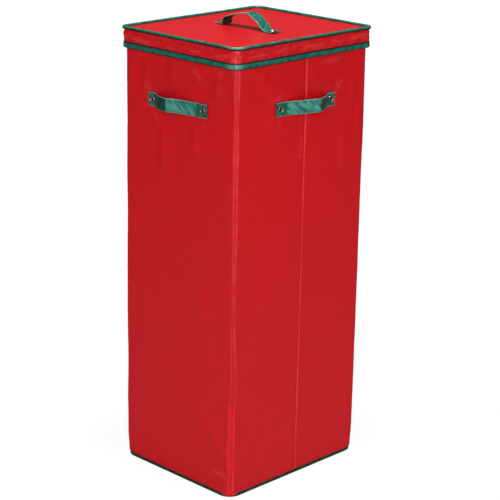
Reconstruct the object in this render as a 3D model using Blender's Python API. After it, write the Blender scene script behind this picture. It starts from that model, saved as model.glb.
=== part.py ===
"""A tall soft-sided storage box with a lift-off lid.

The walls are coated red fabric over stiff boards, with a lining. The front and back walls hold one
board each, and each side wall holds two boards that meet at an upright crease. A loose base board
keeps the plan square. The lid is a stiff top with a fabric skirt that slips over the rim. Four
strap handles on the walls and one on the lid are held by hollow rivets and washers.

Metres. +Z is up, the front wall faces -Y, and the origin is on the floor under the middle.
"""

import math

import bmesh
import bpy
from mathutils import Matrix, Vector

# The body
BODY_WIDTH = 0.291  # across X, over the cover
BODY_DEPTH = 0.347  # across Y, over the cover
BODY_HEIGHT = 0.8417  # floor to the top of the rim binding
BODY_CORNER_RADIUS = 0.0095
FIT_GAP = 0.0003  # between pieces that lie on each other

# The sheets of the walls, the base and the lid
COVER_THICKNESS = 0.0008
LINING_THICKNESS = 0.0006
WALL_BOARD_THICKNESS = 0.0025
WALL_BOARD_FOOT = 0.009  # floor to the lower edge of the wall boards
CORNER_HINGE_WIDTH = 0.0095  # from the cover's corner to the upright edge of a wall board

# The crease of a side wall
CREASE_OFFSET = 0.004  # how far the crease and the handle sit behind the wall's middle
CREASE_GAP = 0.005  # between the wall's two boards
CREASE_DEPTH = 0.001  # the cover is drawn in between the boards
CREASE_WIDTH = 0.0044
CREASE_FADE = 0.02

# The bound edges and the bottom
BINDING_THICKNESS = 0.0007
RIM_BINDING_HEIGHT = 0.009
HEM_BINDING_HEIGHT = 0.0118
BASE_PIPING_HEIGHT = 0.0062
BASE_PIPING_WIDTH = 0.0042
BASE_PIPING_PROUD = 0.0016  # how far it stands out from the cover

# The loose base board
BASE_BOARD_THICKNESS = 0.003
BASE_SIDE_CLEARANCE = 0.0035
BASE_END_CLEARANCE = 0.0025
BASE_CORNER_RADIUS = 0.008

# The lid
LID_BOARD_THICKNESS = 0.002
LID_BOARD_CLEARANCE = 0.0017  # between the skirt and the edge of the lid's board
SKIRT_THICKNESS = 0.0012
SKIRT_CLEARANCE = 0.0033  # between the body's cover and the skirt
SKIRT_DROP = 0.036  # lid top to the lower edge of the hem binding
LID_PIPING_RADIUS = 0.0032
LID_PIPING_RISE = 0.0013  # its centre above the lid's top
LID_HANDLE_OFFSET = 0.004  # the handle sits this far to the right of the middle and in front of it

# The strap handles
STRAP_WIDTH = 0.0254
STRAP_THICKNESS = 0.0016
STRAP_EDGE_CHAMFER = 0.0004
STRAP_TAB_LENGTH = 0.021
WALL_HALF_SPAN = 0.056  # middle of a wall handle to the start of its tab
WALL_HANDLE_DROP = 0.1162  # top of the body to the middle of the strap
FRONT_STANDOFF = 0.0155  # wall to the middle of the strap at its highest bend
SIDE_STANDOFF = 0.024
LID_HALF_SPAN = 0.053
LID_ARCH_HEIGHT = 0.0278

# How each strap bows: shares of its half span along, and of its standoff out
FRONT_BOW_SHARES = (
    (-1, 0), (-0.68, 0.93), (-0.27, 1.03), (-0.16, 0.99), (0.3, 0.42), (0.78, 0.1), (1, 0)
)
SIDE_BOW_SHARES = ((-1, 0), (-0.38, 0.5), (0.26, 0.99), (0.34, 1.02), (0.86, 0.4), (1, 0))
LID_BOW_SHARES = (
    (-1, 0), (-1, 0.47), (-0.78, 0.65), (-0.35, 0.9), (0.02, 1.05), (0.3, 1.01), (0.62, 0.66), (1, 0)
)

# The hollow rivets and their washers
RIVET_HEAD_RADIUS = 0.006
RIVET_HEAD_HEIGHT = 0.0015
RIVET_SHANK_RADIUS = 0.0035
RIVET_BORE_RADIUS = 0.0027
RIVET_CURL_RADIUS = 0.0051
RIVET_CURL_HEIGHT = 0.001
RIVET_CROWN_SHARES = (0.25, 0.6)  # where the rolled head and the curl turn over
WASHER_RADIUS = 0.0065
WASHER_THICKNESS = 0.0008

# How finely round shapes are divided, and how far a guide runs past what it cuts
CORNER_STEPS = 4
ROUND_STEPS = 16
CORD_STEPS = 10
BOW_ROUNDINGS = 2
CUT_OVERRUN = 0.004

# What follows from the sizes above
WALL_FOOT = BASE_PIPING_HEIGHT + FIT_GAP
WALL_TOP = BODY_HEIGHT - BINDING_THICKNESS - FIT_GAP
BOARD_PLACE = COVER_THICKNESS + FIT_GAP  # outside of the cover to the board
LINING_PLACE = BOARD_PLACE + WALL_BOARD_THICKNESS + FIT_GAP
WALL_THICKNESS = LINING_PLACE + LINING_THICKNESS
BASE_FOOT = COVER_THICKNESS + FIT_GAP
BASE_BOARD_TOP = BASE_FOOT + BASE_BOARD_THICKNESS
BASE_TOP = BASE_BOARD_TOP + FIT_GAP + LINING_THICKNESS
BASE_WIDTH = BODY_WIDTH - 2 * (WALL_THICKNESS + BASE_SIDE_CLEARANCE)
BASE_DEPTH = BODY_DEPTH - 2 * (WALL_THICKNESS + BASE_END_CLEARANCE)
LID_LINING_FOOT = BODY_HEIGHT + FIT_GAP
LID_BOARD_FOOT = LID_LINING_FOOT + LINING_THICKNESS + FIT_GAP
LID_COVER_FOOT = LID_BOARD_FOOT + LID_BOARD_THICKNESS + FIT_GAP
LID_TOP = LID_COVER_FOOT + COVER_THICKNESS
LID_THICKNESS = LID_TOP - LID_LINING_FOOT
SKIRT_PLACE = SKIRT_CLEARANCE + SKIRT_THICKNESS  # the body's cover to the outside of the skirt
SKIRT_FOOT = LID_TOP - SKIRT_DROP + BINDING_THICKNESS + FIT_GAP
SKIRT_TOP = LID_TOP + LID_PIPING_RISE - LID_PIPING_RADIUS - FIT_GAP
STRAP_SEAT = FIT_GAP + STRAP_THICKNESS / 2  # surface to the middle of a strap's tab
WALL_HANDLE_HEIGHT = BODY_HEIGHT - WALL_HANDLE_DROP
HOLE_RADIUS = RIVET_SHANK_RADIUS + FIT_GAP
UP = Vector((0, 0, 1))

# Finishes: name, colour, roughness and metallic value
VINYL = ("coated_fabric", (0.52, 0.012, 0.018), 0.42, 0.0)
TRIM = ("green_vinyl", (0.012, 0.18, 0.12), 0.38, 0.0)
CLOTH = ("nonwoven_lining", (0.42, 0.015, 0.02), 0.85, 0.0)
BOARD = ("grey_chipboard", (0.36, 0.33, 0.28), 0.9, 0.0)
METAL = ("nickel_plate", (0.72, 0.7, 0.67), 0.22, 1.0)

# The four sides: name, quarter turns, half length, distance from the middle, sense of the offset
SIDES = (
    ("front", 0, BODY_WIDTH / 2, BODY_DEPTH / 2, 0),
    ("right", 1, BODY_DEPTH / 2, BODY_WIDTH / 2, 1),
    ("back", 2, BODY_WIDTH / 2, BODY_DEPTH / 2, 0),
    ("left", 3, BODY_DEPTH / 2, BODY_WIDTH / 2, -1),
)


def clear_scene():
    for obj in list(bpy.data.objects):
        bpy.data.objects.remove(obj, do_unlink=True)


def make_material(name, finish):
    label, colour, roughness, metallic = finish
    material = bpy.data.materials.new(f"{name}_{label}")
    material.use_nodes = True
    shader = material.node_tree.nodes["Principled BSDF"]
    shader.inputs["Base Color"].default_value = (*colour, 1)
    shader.inputs["Roughness"].default_value = roughness
    shader.inputs["Metallic"].default_value = metallic
    return material


def make_object(name, bm, finish, parent=None):
    """The bmesh as an object with its own material, faces out and round parts smooth."""
    bmesh.ops.recalc_face_normals(bm, faces=bm.faces)
    mesh = bpy.data.meshes.new(name)
    bm.to_mesh(mesh)
    bm.free()
    mesh.materials.append(make_material(name, finish))
    mesh.shade_smooth()
    mesh.set_sharp_from_angle(angle=math.radians(35))
    obj = bpy.data.objects.new(name, mesh)
    bpy.context.scene.collection.objects.link(obj)
    obj.parent = parent
    return obj


def make_holder(name, location, turn=None):
    """An empty that carries the pieces of one side, one handle or one hinge."""
    holder = bpy.data.objects.new(name, None)
    bpy.context.scene.collection.objects.link(holder)
    holder.matrix_world = Matrix.Translation(location) @ (turn or Matrix())
    return holder


def make_side_holder(prefix, side):
    """A holder on the floor under the cover's face on that side. Its -Y looks out."""
    name, quarter, _, distance, _ = side
    turn = Matrix.Rotation(math.pi / 2 * quarter, 4, "Z")
    return make_holder(f"{prefix}_{name}", turn @ Vector((0, -distance, 0)), turn)


def corner_frames(centre, radius, start, end):
    """Frames (place, outward, up) round a corner, from one angle to the other."""
    frames = []
    for step in range(CORNER_STEPS + 1):
        angle = start + (end - start) * step / CORNER_STEPS
        outward = Vector((math.cos(angle), math.sin(angle), 0))
        frames.append((centre + radius * outward, outward, UP))
    return frames


def plan_loop(width, depth, radius):
    """A rounded rectangle as frames, anticlockwise from above."""
    frames = []
    for quarter, (sign_x, sign_y) in enumerate(((1, 1), (-1, 1), (-1, -1), (1, -1))):
        centre = Vector((sign_x * (width / 2 - radius), sign_y * (depth / 2 - radius), 0))
        start = math.pi / 2 * quarter
        frames += corner_frames(centre, radius, start, start + math.pi / 2)
    return frames


def body_loop(offset):
    """The plan of the body's cover, moved out by offset."""
    return plan_loop(BODY_WIDTH + 2 * offset, BODY_DEPTH + 2 * offset, BODY_CORNER_RADIUS + offset)


def side_line(half_length, offset, crease=None):
    """One side of the same plan in its holder's frame, from seam to seam, with room for a crease."""
    radius = BODY_CORNER_RADIUS + offset
    place = half_length - BODY_CORNER_RADIUS
    seam = math.pi / 4 - FIT_GAP / 2 / radius
    down = -math.pi / 2
    near, far = Vector((-place, BODY_CORNER_RADIUS, 0)), Vector((place, BODY_CORNER_RADIUS, 0))
    frames = corner_frames(near, radius, down - seam, down)
    if crease is not None:
        foot = CREASE_WIDTH / 2
        for along in (crease - foot, crease, crease + foot):
            frames.append((Vector((along, -offset, 0)), Vector((0, -1, 0)), UP))
    return frames + corner_frames(far, radius, down, down + seam)


def sweep(frames, section, closed=True):
    """A bmesh of the section, points (outward, up), carried along the frames."""
    bm = bmesh.new()
    rings = [
        [bm.verts.new(place + out * a + up * b) for a, b in section] for place, out, up in frames
    ]
    spans = list(zip(rings, rings[1:]))
    if closed:
        spans.append((rings[-1], rings[0]))
    else:
        bm.faces.new(rings[0])
        bm.faces.new(rings[-1])
    for near, far in spans:
        for k in range(len(section)):
            bm.faces.new((near[k - 1], near[k], far[k], far[k - 1]))
    return bm


def band_section(thickness, levels):
    """The section of an upright band whose outer face is on the line, with points at each level."""
    return [(0, z) for z in levels] + [(-thickness, z) for z in reversed(levels)]


def channel_section(outer, inner, edge, end):
    """Tape folded over an edge: its legs clear outer and inner, and its fold is at edge."""
    fold = BINDING_THICKNESS if end > edge else -BINDING_THICKNESS
    return [
        (outer + BINDING_THICKNESS, end),
        (outer + BINDING_THICKNESS, edge),
        (inner - BINDING_THICKNESS, edge),
        (inner - BINDING_THICKNESS, end),
        (inner, end),
        (inner, edge + fold),
        (outer, edge + fold),
        (outer, end),
    ]


def cord_section(width, height, out, up):
    turns = [2 * math.pi * step / CORD_STEPS for step in range(CORD_STEPS)]
    return [(out + width / 2 * math.cos(t), up + height / 2 * math.sin(t)) for t in turns]


def sheet(frames, foot, top):
    """A flat sheet of the loop's outline."""
    bm = bmesh.new()
    face = bm.faces.new([bm.verts.new(place + UP * foot) for place, _, _ in frames])
    grown = bmesh.ops.extrude_face_region(bm, geom=[face])
    lifted = [v for v in grown["geom"] if isinstance(v, bmesh.types.BMVert)]
    bmesh.ops.translate(bm, vec=UP * (top - foot), verts=lifted)
    return bm


def tray(outer, inner, open_end, ceiling, top):
    """A sheet with its edges turned down: closed at top, open at open_end."""
    bm = bmesh.new()
    levels = ((outer, open_end), (outer, top), (inner, ceiling), (inner, open_end))
    rings = [[bm.verts.new(place + UP * z) for place, _, _ in loop] for loop, z in levels]
    for near, far in ((0, 1), (2, 3), (3, 0)):
        for k in range(len(outer)):
            bm.faces.new((rings[near][k - 1], rings[near][k], rings[far][k], rings[far][k - 1]))
    bm.faces.new(rings[1])
    bm.faces.new(rings[2])
    return bm


def block(low, high):
    """A box between two corners."""
    bm = bmesh.new()
    bmesh.ops.create_cube(bm, size=1)
    low, high = Vector(low), Vector(high)
    bmesh.ops.scale(bm, vec=high - low, verts=bm.verts)
    bmesh.ops.translate(bm, vec=(low + high) / 2, verts=bm.verts)
    return bm


def turned(profile):
    """The closed profile, points (radius, out along -Y), spun round the Y axis."""
    bm = bmesh.new()
    verts = [bm.verts.new((radius, -out, 0)) for radius, out in profile]
    edges = [bm.edges.new((verts[k - 1], verts[k])) for k in range(len(verts))]
    bmesh.ops.spin(
        bm,
        geom=verts + edges,
        cent=(0, 0, 0),
        axis=(0, 1, 0),
        angle=2 * math.pi,
        steps=ROUND_STEPS,
        use_merge=True,
    )
    return bm


def rounded(points):
    """The line with each corner cut back by a quarter of its runs, again and again."""
    cut_share = 0.25
    for _ in range(BOW_ROUNDINGS):
        softer = [points[0]]
        for start, end in zip(points, points[1:]):
            softer += [start.lerp(end, cut_share), end.lerp(start, cut_share)]
        points = softer + [points[-1]]
    return points


def strap_line(half_span, standoff, bow_shares):
    """The middle line of a strap, points (along X, out): tab, bow and tab."""
    bend_share = 0.2
    rise = standoff - STRAP_SEAT
    bow = [Vector((half_span * along, STRAP_SEAT + rise * out)) for along, out in bow_shares]
    tab = [
        Vector((half_span + STRAP_TAB_LENGTH * share, STRAP_SEAT)) for share in (bend_share, 1)
    ]
    near_tab = [Vector((-point.x, point.y)) for point in reversed(tab)]
    return rounded(near_tab + bow + tab)


def strap_frames(line):
    """Frames along a strap's middle line, with out towards -Y."""
    frames = []
    last = len(line) - 1
    for k, point in enumerate(line):
        run = (line[min(k + 1, last)] - line[max(k - 1, 0)]).normalized()
        frames.append((Vector((point.x, -point.y, 0)), Vector((-run.y, -run.x, 0)), UP))
    return frames


def strap_section():
    """A flat strap with its four long edges eased."""
    half, face, ease = STRAP_WIDTH / 2, STRAP_THICKNESS / 2, STRAP_EDGE_CHAMFER
    upper = [(face, half - ease), (face - ease, half), (ease - face, half), (-face, half - ease)]
    return upper + [(-out, -up) for out, up in upper]


def rivet_profile(depth):
    """Rolled head outside, hollow shank, curled end inside, for a stack of that depth."""
    turn_share, crown_share = RIVET_CROWN_SHARES
    seat = 2 * FIT_GAP + STRAP_THICKNESS
    head = RIVET_HEAD_RADIUS - RIVET_BORE_RADIUS
    crown = seat + RIVET_HEAD_HEIGHT
    curl_seat = -(depth + 2 * FIT_GAP + WASHER_THICKNESS)
    curl = RIVET_CURL_RADIUS - RIVET_BORE_RADIUS
    end = curl_seat - RIVET_CURL_HEIGHT
    return [
        (RIVET_SHANK_RADIUS, seat),
        (RIVET_HEAD_RADIUS, seat),
        (RIVET_HEAD_RADIUS, seat + RIVET_HEAD_HEIGHT * turn_share),
        (RIVET_HEAD_RADIUS - head * turn_share, crown - RIVET_HEAD_HEIGHT * turn_share),
        (RIVET_HEAD_RADIUS - head * crown_share, crown),
        (RIVET_BORE_RADIUS, crown - RIVET_HEAD_HEIGHT * turn_share),
        (RIVET_BORE_RADIUS, end + RIVET_CURL_HEIGHT * turn_share),
        (RIVET_CURL_RADIUS - curl * crown_share, end),
        (RIVET_CURL_RADIUS - curl * turn_share, end + RIVET_CURL_HEIGHT * turn_share),
        (RIVET_CURL_RADIUS, curl_seat),
        (RIVET_SHANK_RADIUS, curl_seat),
    ]


def washer_profile(depth):
    """A flat ring on the lining, under the rivet's curled end."""
    outer = -(depth + FIT_GAP)
    inner = outer - WASHER_THICKNESS
    return [(HOLE_RADIUS, outer), (WASHER_RADIUS, outer), (WASHER_RADIUS, inner), (HOLE_RADIUS, inner)]


def cut_holes(obj, cutters):
    for cutter in cutters:
        modifier = obj.modifiers.new("rivet_hole", "BOOLEAN")
        modifier.operation = "DIFFERENCE"
        modifier.solver = "EXACT"
        modifier.object = cutter


def make_hole_cutter(name, depth, holder):
    """A guide that cuts one rivet's hole through the strap and everything under it."""
    inner = -(depth + CUT_OVERRUN)
    outer = STRAP_SEAT + STRAP_THICKNESS + CUT_OVERRUN
    bm = bmesh.new()
    bmesh.ops.create_cone(
        bm,
        cap_ends=True,
        segments=ROUND_STEPS,
        radius1=HOLE_RADIUS,
        radius2=HOLE_RADIUS,
        depth=outer - inner,
        matrix=Matrix.Translation((0, -(outer + inner) / 2, 0)) @ Matrix.Rotation(math.pi / 2, 4, "X"),
    )
    cutter = make_object(name, bm, TRIM, holder)
    cutter.hide_render = True
    cutter.display_type = "WIRE"
    return cutter


def make_handle(prefix, line, depth, place, holder):
    """A strap at its place on the holder, two rivets and two washers. Returns the hole guides."""
    strap = make_object(prefix + "_handle", sweep(strap_frames(line), strap_section(), False), TRIM, holder)
    strap.location = place
    rivet_place = line[-1].x - STRAP_TAB_LENGTH / 2
    cutters = []
    for letter, sign in (("a", -1), ("b", 1)):
        cutter = make_hole_cutter(f"cut_{prefix}_{letter}", depth, holder)
        rivet = make_object(f"{prefix}_rivet_{letter}", turned(rivet_profile(depth)), METAL, holder)
        washer = make_object(f"{prefix}_washer_{letter}", turned(washer_profile(depth)), METAL, holder)
        for obj in (cutter, rivet, washer):
            obj.location = place + Vector((sign * rivet_place, 0, 0))
        cutters.append(cutter)
    cut_holes(strap, cutters)
    return cutters


def press_crease(bm, crease, low, high):
    """Draws the cover in along the crease, between two levels."""
    for vert in bm.verts:
        if abs(vert.co.x - crease) < FIT_GAP and low <= vert.co.z <= high:
            vert.co.y += CREASE_DEPTH


def make_wall(side):
    """One wall: its cover, its board or two boards, its lining and its handle."""
    name, _, half_length, _, sense = side
    holder = make_side_holder("wall", side)
    crease = sense * CREASE_OFFSET
    standoff, bow = (SIDE_STANDOFF, SIDE_BOW_SHARES) if sense else (FRONT_STANDOFF, FRONT_BOW_SHARES)
    line = strap_line(WALL_HALF_SPAN, standoff, bow)
    place = Vector((crease, 0, WALL_HANDLE_HEIGHT))
    cutters = make_handle(name, line, WALL_THICKNESS, place, holder)
    low = WALL_FOOT + CREASE_FADE
    high = BODY_HEIGHT - RIM_BINDING_HEIGHT - CREASE_FADE
    if sense:
        levels = (WALL_FOOT, low, high, high + CREASE_FADE - FIT_GAP, WALL_TOP)
        cover = sweep(side_line(half_length, 0, crease), band_section(COVER_THICKNESS, levels), False)
        press_crease(cover, crease, low - FIT_GAP, high + FIT_GAP)
    else:
        levels = (WALL_FOOT, WALL_TOP)
        cover = sweep(side_line(half_length, 0), band_section(COVER_THICKNESS, levels), False)
    cut_holes(make_object(name + "_cover", cover, VINYL, holder), cutters)
    lining = sweep(
        side_line(half_length, -LINING_PLACE), band_section(LINING_THICKNESS, (BASE_FOOT, WALL_TOP)), False
    )
    cut_holes(make_object(name + "_lining", lining, CLOTH, holder), cutters)
    end = half_length - CORNER_HINGE_WIDTH
    gap = CREASE_GAP / 2
    boards = [("_board", -end, end, cutters)]
    if sense:
        boards = [("_board_a", -end, crease - gap, cutters[:1]), ("_board_b", crease + gap, end, cutters[1:])]
    for suffix, start, stop, guides in boards:
        low_corner = (start, BOARD_PLACE, WALL_BOARD_FOOT)
        high_corner = (stop, BOARD_PLACE + WALL_BOARD_THICKNESS, WALL_TOP)
        cut_holes(make_object(name + suffix, block(low_corner, high_corner), BOARD, holder), guides)


def make_edges():
    """The binding over the rim, the piping round the foot, and the cloth inside the piping."""
    edge, end = BODY_HEIGHT, BODY_HEIGHT - RIM_BINDING_HEIGHT
    rim = channel_section(FIT_GAP, -(WALL_THICKNESS + FIT_GAP), edge, end)
    make_object("rim_binding", sweep(body_loop(0), rim), TRIM)
    middle = BASE_PIPING_PROUD - BASE_PIPING_WIDTH / 2
    cord = cord_section(BASE_PIPING_WIDTH, BASE_PIPING_HEIGHT, middle, BASE_PIPING_HEIGHT / 2)
    make_object("base_piping", sweep(body_loop(0), cord), TRIM)
    inset = BASE_PIPING_WIDTH - BASE_PIPING_PROUD + FIT_GAP
    make_object("bottom_cloth", sheet(body_loop(-inset), 0, COVER_THICKNESS), VINYL)


def make_base_board():
    """The loose base board in its cloth, on a holder at the back edge that it tilts about."""
    place = Vector((0, BASE_DEPTH / 2, BASE_TOP))
    hinge = make_holder("base_hinge", place)

    def loop(inset):
        return plan_loop(BASE_WIDTH - 2 * inset, BASE_DEPTH - 2 * inset, BASE_CORNER_RADIUS - inset)

    ceiling = BASE_BOARD_TOP + FIT_GAP
    cloth = tray(loop(0), loop(LINING_THICKNESS), BASE_FOOT, ceiling, BASE_TOP)
    stiffener = sheet(loop(LINING_THICKNESS + FIT_GAP), BASE_FOOT, BASE_BOARD_TOP)
    for name, bm, finish in (("base_cloth", cloth, CLOTH), ("base_board", stiffener, BOARD)):
        bmesh.ops.translate(bm, vec=-place, verts=bm.verts)
        make_object(name, bm, finish, hinge)


def make_lid():
    """A stiff top, a skirt in four panels, piping round the top, a bound hem and a handle."""
    middle = Vector((LID_HANDLE_OFFSET, -LID_HANDLE_OFFSET, LID_TOP))
    holder = make_holder("lid_handle_place", middle, Matrix.Rotation(-math.pi / 2, 4, "X"))
    line = strap_line(LID_HALF_SPAN, LID_ARCH_HEIGHT, LID_BOW_SHARES)
    cutters = make_handle("lid", line, LID_THICKNESS, Vector((0, 0, 0)), holder)
    inside = SKIRT_CLEARANCE - FIT_GAP
    board_place = SKIRT_CLEARANCE - LID_BOARD_CLEARANCE
    under_piping = SKIRT_PLACE - LID_PIPING_RADIUS - FIT_GAP
    sheets = (
        ("lid_cover", under_piping, LID_COVER_FOOT, LID_TOP, VINYL),
        ("lid_board", board_place, LID_BOARD_FOOT, LID_BOARD_FOOT + LID_BOARD_THICKNESS, BOARD),
        ("lid_lining", inside, LID_LINING_FOOT, LID_LINING_FOOT + LINING_THICKNESS, CLOTH),
    )
    for name, offset, foot, top, finish in sheets:
        cut_holes(make_object(name, sheet(body_loop(offset), foot, top), finish), cutters)
    for side in SIDES:
        band = band_section(SKIRT_THICKNESS, (SKIRT_FOOT, SKIRT_TOP))
        panel = sweep(side_line(side[2], SKIRT_PLACE), band, False)
        make_object(f"lid_skirt_{side[0]}", panel, VINYL, make_side_holder("lid", side))
    diameter = 2 * LID_PIPING_RADIUS
    cord = cord_section(diameter, diameter, 0, LID_TOP + LID_PIPING_RISE)
    make_object("lid_piping", sweep(body_loop(SKIRT_PLACE), cord), TRIM)
    edge = LID_TOP - SKIRT_DROP
    hem = channel_section(FIT_GAP, -(SKIRT_THICKNESS + FIT_GAP), edge, edge + HEM_BINDING_HEIGHT)
    make_object("lid_hem_binding", sweep(body_loop(SKIRT_PLACE), hem), TRIM)


clear_scene()
for wall_side in SIDES:
    make_wall(wall_side)
make_edges()
make_base_board()
make_lid()
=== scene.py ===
import math
from functools import partial

import bpy
import numpy as np
from mathutils import Matrix, Vector, noise


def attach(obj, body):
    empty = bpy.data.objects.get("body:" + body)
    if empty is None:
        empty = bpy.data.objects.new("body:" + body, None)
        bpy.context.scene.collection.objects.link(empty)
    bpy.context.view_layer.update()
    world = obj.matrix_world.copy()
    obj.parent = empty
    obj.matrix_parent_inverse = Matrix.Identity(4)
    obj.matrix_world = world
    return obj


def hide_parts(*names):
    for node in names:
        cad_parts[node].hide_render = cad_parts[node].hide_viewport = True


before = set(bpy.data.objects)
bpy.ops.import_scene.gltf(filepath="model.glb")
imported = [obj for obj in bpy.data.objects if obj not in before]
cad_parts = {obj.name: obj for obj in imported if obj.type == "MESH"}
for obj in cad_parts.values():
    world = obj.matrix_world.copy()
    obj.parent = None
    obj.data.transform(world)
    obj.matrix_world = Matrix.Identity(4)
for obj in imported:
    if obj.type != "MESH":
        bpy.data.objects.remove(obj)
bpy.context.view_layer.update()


# ---- Stiffeners ----
# Grey chipboard 2.5 mm thick in the walls and 3 mm in the base and the lid, pressed from waste paper
# and wood fibre and guillotined to size. The cloth hides all but their cut edges.
BOARDS = (
    "front_board", "right_board_a", "right_board_b", "back_board", "left_board_a", "left_board_b",
    "base_board", "lid_board",
)
BOARD_GREY, BOARD_FLECK = "#8F8577", "#6B6155"
FLECK_SIZE = 2.5  # mm
MM = 0.001


def linear(code):
    """An sRGB hex colour as linear red, green, blue and alpha."""
    parts = [int(code[k : k + 2], 16) / 255 for k in (1, 3, 5)]
    return (*[p / 12.92 if p <= 0.04045 else ((p + 0.055) / 1.055) ** 2.4 for p in parts], 1.0)


def add_node(material, kind, inputs=None, **settings):
    """Adds a node with its settings. inputs gives each socket a value, or the node or output it takes."""
    tree = material.node_tree
    node = tree.nodes.new("ShaderNode" + kind)
    for name, value in settings.items():
        setattr(node, name, value)
    for socket, value in (inputs or {}).items():
        if isinstance(value, bpy.types.Node):
            value = next(output for output in value.outputs if output.enabled)
        if isinstance(value, bpy.types.NodeSocket):
            tree.links.new(value, node.inputs[socket])
        else:
            node.inputs[socket].default_value = value
    return node


def start_material(name):
    """An empty material, and add_node for it."""
    material = bpy.data.materials.new(name)
    material.use_nodes = True
    material.node_tree.nodes.clear()
    return material, partial(add_node, material)


def finish_material(material, inputs):
    """Ends a material with its surface, whose sockets inputs gives."""
    surface = add_node(material, "BsdfPrincipled", inputs)
    add_node(material, "OutputMaterial", {"Surface": surface})
    return material


# Pressed chipboard: matt, grey-brown, flecked with darker fibre, a little rough to the touch.
chipboard, add = start_material("pressed_grey_chipboard")
place = add("TexCoord").outputs["Object"]
fleck = add("TexNoise", {"Vector": place, "Scale": 1 / (FLECK_SIZE * MM), "Detail": 5})
tone = add("Mix", {"Factor": fleck, "A": linear(BOARD_GREY), "B": linear(BOARD_FLECK)}, data_type="RGBA")
rough = add("Bump", {"Height": fleck, "Strength": 0.3, "Distance": 0.2 * MM})
finish_material(chipboard, {"Base Color": tone, "Roughness": 0.9, "Normal": rough})
for name in BOARDS:
    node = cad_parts[name]
    node.data.materials.clear()
    node.data.materials.append(chipboard)


# ---- Body cover ----
# Red polyester cloth with a smooth polymer coating, 0.8 mm, sewn into a tube and drawn over the boards.
# It runs straight over the walls, makes a narrow flat face from board to board at each corner, and is
# drawn in at an upright crease between the two boards of each side wall.
BODY_HALF = (145.5, 173.5)  # mm, across X and along Y
COVER_FOOT, COVER_TOP, COVER_THICK = 6.5, 840.7, 0.8
HINGE = 9.5  # mm from a corner to the edge of a board
LEAD, RIDGE_BEND = 8.0, 1.1  # from there to where a wall is quite straight, and the bend of a corner's ridges
FOOT_RADIUS = 24.0  # the corners are fuller at the foot, where the cloth is drawn in over the piping
FALL_REACH, FALL_OUT, FALL_DOWN = 16, 2.3, 5.2  # mm, of the cloth over the piping at the front right corner
CREASE_AT = 4.0  # mm behind the middle of a side wall
COLUMN_PITCHES = (5.5, 5.5, 11, 11)  # front, right, back, left
PLAIN_REACH = 5.6  # mm, of a corner's ridges at the rim
HANDLE_HEIGHT, WALL_RIVET, RIVET_HOLE = 725.5, 66.5, 3.8
# The last colour is a painted highlight, for folds, corner ridges and creases.
COATED_RED, COATED_DEEP, COATED_HIGHLIGHT = "#CE131B", "#C80F18", "#E8464B"
THREAD_PITCH = 0.9  # mm, drawn coarser than the real 0.3 mm so that it shows
CLOUD_SIZE = 70  # mm, of the faint differences of colour and gloss

# The flat face of the front right corner: height, and how far before and after the corner its ridges run
FRONT_FACET = (
    (6, 6.5, 9.5), (16, 4, 8.8), (54, 3.6, 9), (78, 6.5, 9.8), (102, 6.5, 9.4), (127, 4.4, 9),
    (151, 4.6, 8.6), (174, 4, 9.4), (190, 2.6, 11), (204, 1.6, 12), (222, 0.6, 12.8), (245, 0.2, 11.8),
    (269, 0.2, 9.8), (292, 0.2, 8.4), (315, 0.2, 7.2), (361, 0.2, 5.8), (407, 0.2, 5.4), (429, 0.2, 5.2),
    (452, 0.2, 5.3), (475, 0.6, 6.6), (497, 1, 7.5), (519, 1.3, 8.3), (549, 1.4, 8.4), (585, 1.4, 7.6),
    (607, 1.8, 7.4), (629, 1.8, 8.2), (651, 2, 8.4), (672, 2, 8.2), (694, 1.6, 7.8), (715, 0.3, 5.8),
    (737, 0.4, 6.4), (758, 1.8, 8.6), (779, 1.8, 8.8), (802, 1.6, 9.6), (828, 5.6, 5.6), (841, 5.6, 5.6),
)
# How deep the crease is drawn in, by height
CREASE_DEPTHS = (
    (5, 0), (25, 0.8), (150, 0.95), (250, 0.95), (330, 0.75), (390, 0.5), (450, 0.45), (520, 0.7), (600, 1.2),
    (700, 1.4), (760, 1.45), (815, 1.45), (832, 0),
)
CREASE_FLANKS, CREASE_LEAN = (2.8, 2.7), 1.6  # half widths before and behind its line, and its sideways run
CREASE_STEPS = (-8, -5.5, -4, -2.8, -1.8, -0.9, 0, 0.7, 1.4, 2.2, 3.2, 4.5, 7)  # of the cloth's columns by it
TAB_HOLD = (11, 13)  # mm each way of a rivet that its tab holds the cloth flat
FOOT_CRUMPLE, HEM_CRUMPLE = 34, 776  # mm, below and above which the cloth is crumpled
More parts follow.
